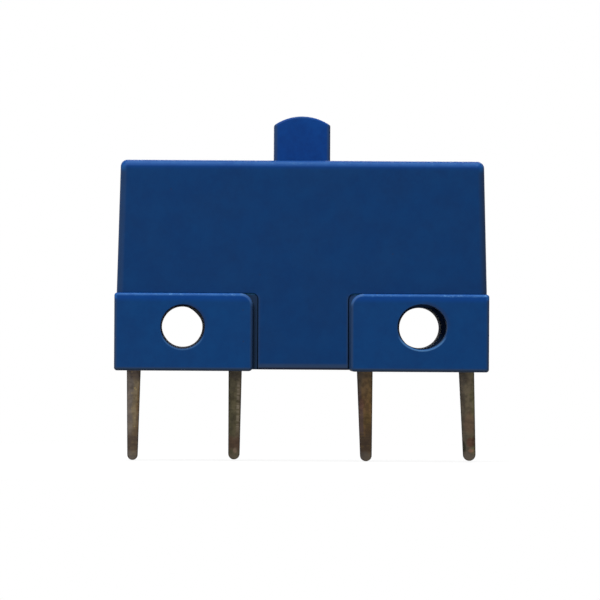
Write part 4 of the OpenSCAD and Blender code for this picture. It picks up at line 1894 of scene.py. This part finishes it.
@dataclass
class SnapSpring(Part):
    """Bowed flat spring between a notch of the plunger's stem and the bridge's window."""

    side: Side
    start: Span = (1.155, 7.725)
    end: Span = (4.895, 6.075)
    bow: float = 0.8
    thickness: float = 0.15
    half_depth: float = 1.0
    edge: float = 0.03
    steps: int = 24
    body = None
    slot = "spring_steel"

    @property
    def nodes(self) -> tuple[str, ...]:
        """CAD node of the spring."""
        return (f"snap_spring_{self.side.half}",)

    def model(self) -> Blank:
        """Models the spring.

        Returns:
            The workpiece.
        """
        (x0, z0), (x1, z1) = self.start, self.end
        chord = math.hypot(x1 - x0, z1 - z0)
        radius = (chord**2 / 4 + self.bow**2) / (2 * self.bow)
        across = ((z0 - z1) / chord, (x1 - x0) / chord)
        back = radius - self.bow
        middle = ((x0 + x1) / 2 - across[0] * back, (z0 + z1) / 2 - across[1] * back)
        first, last = (
            math.degrees(math.atan2(z - middle[1], x - middle[0])) for x, z in (self.start, self.end)
        )
        path = arc(middle, radius, first, last, self.steps)
        made = Blank.line(f"snap_strip_{self.side.half}", [(x, -self.half_depth, z) for x, z in path])
        made.extrude(0, 2 * self.half_depth, 0).weld()
        made.modify("SOLIDIFY", thickness=self.thickness, offset=0)
        return made.round_edges(self.edge, 2).place(self.side)

    def dress(self, material: bpy.types.Material) -> bpy.types.Object:
        """Models and dresses the spring, and bakes its place into its mesh.

        Args:
            material: Its finish.

        Returns:
            The finished piece.
        """
        made = super().dress(material)
        start, end = ((self.side.value * x * MM, 0, z * MM) for x, z in (self.start, self.end))
        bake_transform(made)
        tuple(start)
        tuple(end)
        return made


# ---------------------------------------------------------------------------------------------------------
# Stage
# ---------------------------------------------------------------------------------------------------------


@dataclass
class Studio:
    """Plain pale stage with soft light, and the camera."""

    fill: float = 0.32
    matte: float = 0.2
    matte_seen: float = 0.8
    glow: float = 0.86
    shadow_reach: Span = (0.03, 0.12)
    floor_size: float = 8.0
    distance: float = 850.0
    lens: float = 683.4
    sensor: float = 36.0
    clip: Span = (0.05, 20.0)
    stand: Span = (-10.65, -0.2)
    aim: Span = (-0.144, -0.841)
    roll: float = math.radians(0.33)

    @staticmethod
    def place(name: str, data: bpy.types.ID) -> bpy.types.Object:
        """Adds a camera or lamp to the scene.

        Args:
            name: Name of the object.
            data: The camera or lamp.

        Returns:
            The new object.
        """
        made = bpy.data.objects.new(name, data)
        bpy.context.scene.collection.objects.link(made)
        return made

    def camera(self, low: Vector, high: Vector) -> None:
        """Sets up the camera.

        Args:
            low: Lowest corner of the object, in metres.
            high: Highest corner of the object, in metres.
        """
        middle = (low + high) / 2
        data = bpy.data.cameras.new("camera")
        data.lens, data.sensor_width = self.lens, self.sensor
        data.clip_start, data.clip_end = self.clip
        made = self.place("camera", data)
        made.location = (self.stand[0] * MM, low.y - self.distance * MM, self.stand[1] * MM)
        target = Vector((middle.x + self.aim[0] * MM, low.y, middle.z + self.aim[1] * MM))
        way = (target - made.location).to_track_quat("-Z", "Y").to_matrix().to_4x4()
        made.rotation_euler = (way @ Matrix.Rotation(self.roll, 4, "Z")).to_euler()
        bpy.context.scene.camera = made

    @staticmethod
    def seen_directly(graph: Graph) -> Field:
        """Finds the rays that show the background: from the camera, a reflection or glass.

        Args:
            graph: Graph of a material or world.

        Returns:
            Mask of those rays.
        """
        path = graph.add("LightPath").outputs
        rays = ("Camera", "Glossy", "Transmission")
        camera, glossy, through = (Field(graph, path[f"Is {ray} Ray"]) for ray in rays)
        return camera.most(glossy).most(through)

    def world(self) -> None:
        """White surroundings that light the object only softly."""
        world = bpy.data.worlds.new("studio")
        bpy.context.scene.world = world
        world.use_nodes = True
        graph = Graph(world.node_tree)
        strength = self.seen_directly(graph).spread(0, 1, self.fill, 1.0)
        light = graph.field("Background", {"Color": (1, 1, 1, 1), "Strength": strength})
        graph.add("OutputWorld", {"Surface": light})

    def floor(self, level: float) -> None:
        """White floor just under the prongs, which shows the object's shadow near it.

        Args:
            level: Height of the floor, in metres.
        """
        Blank.clear_bench()
        bpy.ops.mesh.primitive_plane_add(size=self.floor_size, location=(0, 0, level))
        floor = bpy.context.object
        floor.name = "floor"
        material = bpy.data.materials.new("pale_floor")
        material.use_nodes = True
        graph = Graph(material.node_tree)
        seen = self.seen_directly(graph)
        place = graph.field("TexCoord", {}, "Object")
        away = graph.field("VectorMath", {0: place}, "Value", operation="LENGTH")
        shade = seen.spread(0, 1, self.matte, self.matte_seen)
        matte = graph.field("BsdfDiffuse", {"Color": graph.join(shade, shade, shade)})
        glow = graph.field("Emission", {"Color": (1, 1, 1, 1), "Strength": 1.0})
        share = seen * away.spread(*self.shadow_reach, self.glow, 1.0)
        graph.add("OutputMaterial", {"Surface": graph.field("MixShader", {0: share, 1: matte, 2: glow})})
        floor.data.materials.append(material)
        floor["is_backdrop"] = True

    def lamp(
        self, name: str, level: float, size: float, distance: float, azimuth: float, elevation: float
    ) -> None:
        """Soft area lamp that faces the object.

        Args:
            name: Name of the lamp.
            level: Brightness of a white face that is turned to the lamp.
            size: Side of the lamp, in metres.
            distance: Distance from the object, in metres.
            azimuth: Angle from the front towards +X, in degrees.
            elevation: Angle above the floor, in degrees.
        """
        data = bpy.data.lights.new(name, "AREA")
        data.energy, data.size = level * (math.pi * distance) ** 2, size
        turn, rise = math.radians(azimuth), math.radians(elevation)
        way = Vector((math.cos(rise) * math.sin(turn), -math.cos(rise) * math.cos(turn), math.sin(rise)))
        made = self.place(name, data)
        made.location = way * distance
        made.rotation_euler = (-way).to_track_quat("-Z", "Y").to_euler()

    def build(self, low: Vector, high: Vector) -> None:
        """Builds the whole stage.

        Args:
            low: Lowest corner of the object, in metres.
            high: Highest corner of the object, in metres.
        """
        bpy.context.scene.view_settings.view_transform = "Standard"
        self.camera(low, high)
        self.world()
        self.floor(low.z)
        self.lamp("key", level=1.0, size=0.25, distance=0.5, azimuth=-24, elevation=38)
        self.lamp("top", level=0.85, size=0.2, distance=0.45, azimuth=-10, elevation=84)
        self.lamp("back", level=0.45, size=0.3, distance=0.6, azimuth=168, elevation=30)


# ---------------------------------------------------------------------------------------------------------
# Making
# ---------------------------------------------------------------------------------------------------------


def plastics(levels: Levels) -> tuple[Plastic, Plastic, Plastic]:
    """Finishes of the cover, the base and the push button.

    Args:
        levels: Shared sizes.

    Returns:
        The three finishes.
    """
    middle, rise = (levels.case_top + levels.tongue_low) / 2, (levels.case_top - levels.tongue_low) / 2
    lean = math.tan(Cover.draft)
    inset = lean * (middle - levels.foot_top)
    wide, deep = 13.8, 4.75  # half sizes of the cap at its rim
    half = (wide - inset, deep - inset, rise)
    case_blue = CoverPlastic("case_blue", centre=(0, 0, middle), half=half, draft=lean)

    middle = (levels.foot_low + levels.foot_top) / 2
    half = ((levels.half_width - levels.foot_inner) / 2, levels.half_depth, levels.foot_top - middle)
    radius = Base.corner_radii[3]
    base_blue = BasePlastic(
        "base_blue",
        centre=(0, 0, middle),
        half=half,
        twin=levels.half_width - half[0],
        corner=(levels.foot_inner + radius, levels.foot_top - radius, radius),
    )

    middle = 8  # a level inside the button
    button_blue = Plastic(
        "button_blue",
        colour=(2, 44, 104),
        cloud=(3, 47, 106),
        light=(10, 76, 150),
        wear_and_light=(20, 60, 104),
        dust_and_shade=(38, 58, 84),
        centre=(0, 0, middle),
        half=(PushButton.half_width, PushButton.half_depth, levels.apex - middle),
        width=0.2,
        margin=0.3,
        outline=0.8,
        mottling=0.3,
        glare=0.0,
    )
    return case_blue, base_blue, button_blue


def tarnishes() -> tuple[Tarnished, ...]:
    """Finishes of the four terminals.

    Returns:
        The finishes, from left to right.
    """
    # The dark patches at down 0, across the top of a prong, are painted shade where it leaves the moulding;
    # the others are tarnish.
    outer_left = (
        Patch(0.3, 0.0, 1.2, 0.1, 0.8, (76, 64, 62)),
        Patch(0.9, 0.5, 0.4, 0.3, 0.5, (86, 64, 48)),
        Patch(-0.4, 0.65, 0.5, 0.05, 0.6, (124, 112, 98)),
        Patch(0.45, 0.7, 0.8, 0.09, 0.7, (84, 70, 58)),
        Patch(0.0, 0.81, 9, 0.1, 0.9, (76, 64, 56)),
        Patch(0.0, 1.0, 9, 0.1, 0.8, (90, 84, 79)),
    )
    inner_left = (
        Patch(0.0, 0.0, 9, 0.1, 0.7, (56, 50, 44)),
        Patch(0.0, 0.8, 9, 0.085, 0.8, (78, 58, 46)),
        Patch(0.15, 0.885, 0.4, 0.035, 0.9, (120, 100, 84)),
        Patch(0.0, 1.0, 9, 0.08, 0.8, (94, 84, 70)),
    )
    inner_right = (
        Patch(-0.9, 0.1, 0.8, 0.15, 0.7, (58, 50, 42)),
        Patch(-0.5, 0.36, 0.5, 0.08, 0.5, (88, 58, 54)),
        Patch(0.0, 0.0, 9, 0.09, 0.6, (72, 60, 46)),
        Patch(0.2, 0.54, 0.5, 0.1, 0.5, (76, 62, 30)),
        Patch(0.5, 0.68, 0.8, 0.1, 0.6, (60, 46, 33)),
        Patch(0.2, 0.81, 9, 0.12, 0.9, (62, 50, 40)),
        Patch(0.0, 0.98, 9, 0.1, 0.85, (82, 76, 68)),
    )
    outer_right = (
        Patch(-0.6, 0.07, 0.8, 0.1, 0.6, (62, 57, 50)),
        Patch(0.3, 0.56, 0.9, 0.14, 0.7, (98, 78, 62)),
        Patch(0.3, 0.78, 0.6, 0.055, 0.8, (88, 56, 44)),
        Patch(0.9, 0.77, 0.5, 0.06, 0.8, (66, 44, 30)),
        Patch(-1.0, 0.83, 0.5, 0.09, 0.9, (38, 38, 28)),
        Patch(0.35, 0.875, 0.45, 0.02, 0.85, (130, 98, 80)),
        Patch(0.0, 1.0, 9, 0.1, 0.85, (90, 82, 74)),
    )
    # Colours at the left, in the middle, at the right and of glints, then the prong's middle, lean and
    # half widths.
    return (
        Tarnished(
            "tarnish_outer_left", (106, 97, 90), (118, 104, 82), (114, 94, 66), (150, 132, 92),
            (-12.53, -0.06, 0.525, 0.395), outer_left, flecks=0.8, shift=1.0,
        ),
        Tarnished(
            "tarnish_inner_left", (74, 70, 52), (84, 78, 58), (88, 78, 62), (124, 114, 98),
            (-4.917, -0.06, 0.497, 0.43), inner_left, ticks=0.75, shift=4.0,
        ),
        Tarnished(
            "tarnish_inner_right", (80, 64, 58), (98, 76, 50), (98, 76, 46), (120, 98, 62),
            (4.812, 0.12, 0.592, 0.44), inner_right, shift=9.0,
        ),
        Tarnished(
            "tarnish_outer_right", (80, 73, 62), (94, 85, 68), (92, 87, 62), (124, 104, 84),
            (12.451, 0.24, 0.577, 0.475), outer_right, shift=13.0,
        ),
    )


def main() -> None:
    """Builds the switch and its stage."""
    logging.basicConfig(level=logging.INFO, format="%(message)s")
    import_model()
    cad_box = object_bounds()
    levels = Levels.from_frame()
    effects = Effects()
    case_blue, base_blue, button_blue = plastics(levels)
    Cover(levels).dress(case_blue.dress(effects))
    Base(levels).dress(base_blue.dress(effects))
    PushButton(levels).dress(button_blue.dress(effects))
    outer = {"throw": Throw.OPEN, "plate_level": 8.15, "leg": (11.107, 12.307)}
    # The prong's place, its width there and at its tip, its lean, and how much shorter it is.
    terminals = (
        Terminal(levels, Side.LEFT, 12.53, 1.05, 0.79, 0.06, 0.02, **outer),
        Terminal(levels, Side.LEFT, 4.917, 0.995, 0.86, 0.06, 0.1),
        Terminal(levels, Side.RIGHT, 4.812, 1.184, 0.88, 0.12, 0.02),
        Terminal(levels, Side.RIGHT, 12.451, 1.153, 0.95, 0.24, 0.09, **outer),
    )
    for terminal, tarnish in zip(terminals, tarnishes()):
        terminal.dress(tarnish.dress(effects))
    silver, steel, copper = (
        CleanMetal(name, colour, film, roughness=rough, run=run, scale=scale).dress(effects)
        for name, colour, film, rough, run, scale in (
            ("contact_silver", (206, 203, 196), (176, 170, 158), 0.28, (1, 1, 1), 5.0),
            ("spring_steel", (172, 174, 178), (150, 150, 150), 0.25, (1, 0.08, 1), 9.0),
            ("copper_strip", (196, 138, 100), (160, 104, 74), 0.3, (0.08, 1, 1), 8.0),
        )
    )
    for side in Side:
        for throw, level, up in ((Throw.CLOSED, "lower", True), (Throw.OPEN, "upper", False)):
            name, nodes = f"rivet_{level}_{side.half}", (f"contact_{throw.value}_{side.half}",)
            Contact(name, nodes, Body.CASE, radius=1.2, height=0.5, faces_up=up, shank=0.6).dress(silver)
        for level, up in (("lower", False), ("upper", True)):
            name, nodes = f"bridge_button_{level}_{side.half}", (f"tip_{side.half}_{level}",)
            Contact(name, nodes, Body.BRIDGE, radius=1.1, height=0.45, faces_up=up).dress(silver)
    Bridge().dress(copper)
    ReturnSpring().dress(steel)
    for side in Side:
        SnapSpring(side).dress(steel)
    Studio().build(*cad_box)
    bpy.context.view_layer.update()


if __name__ == "__main__":
    main()
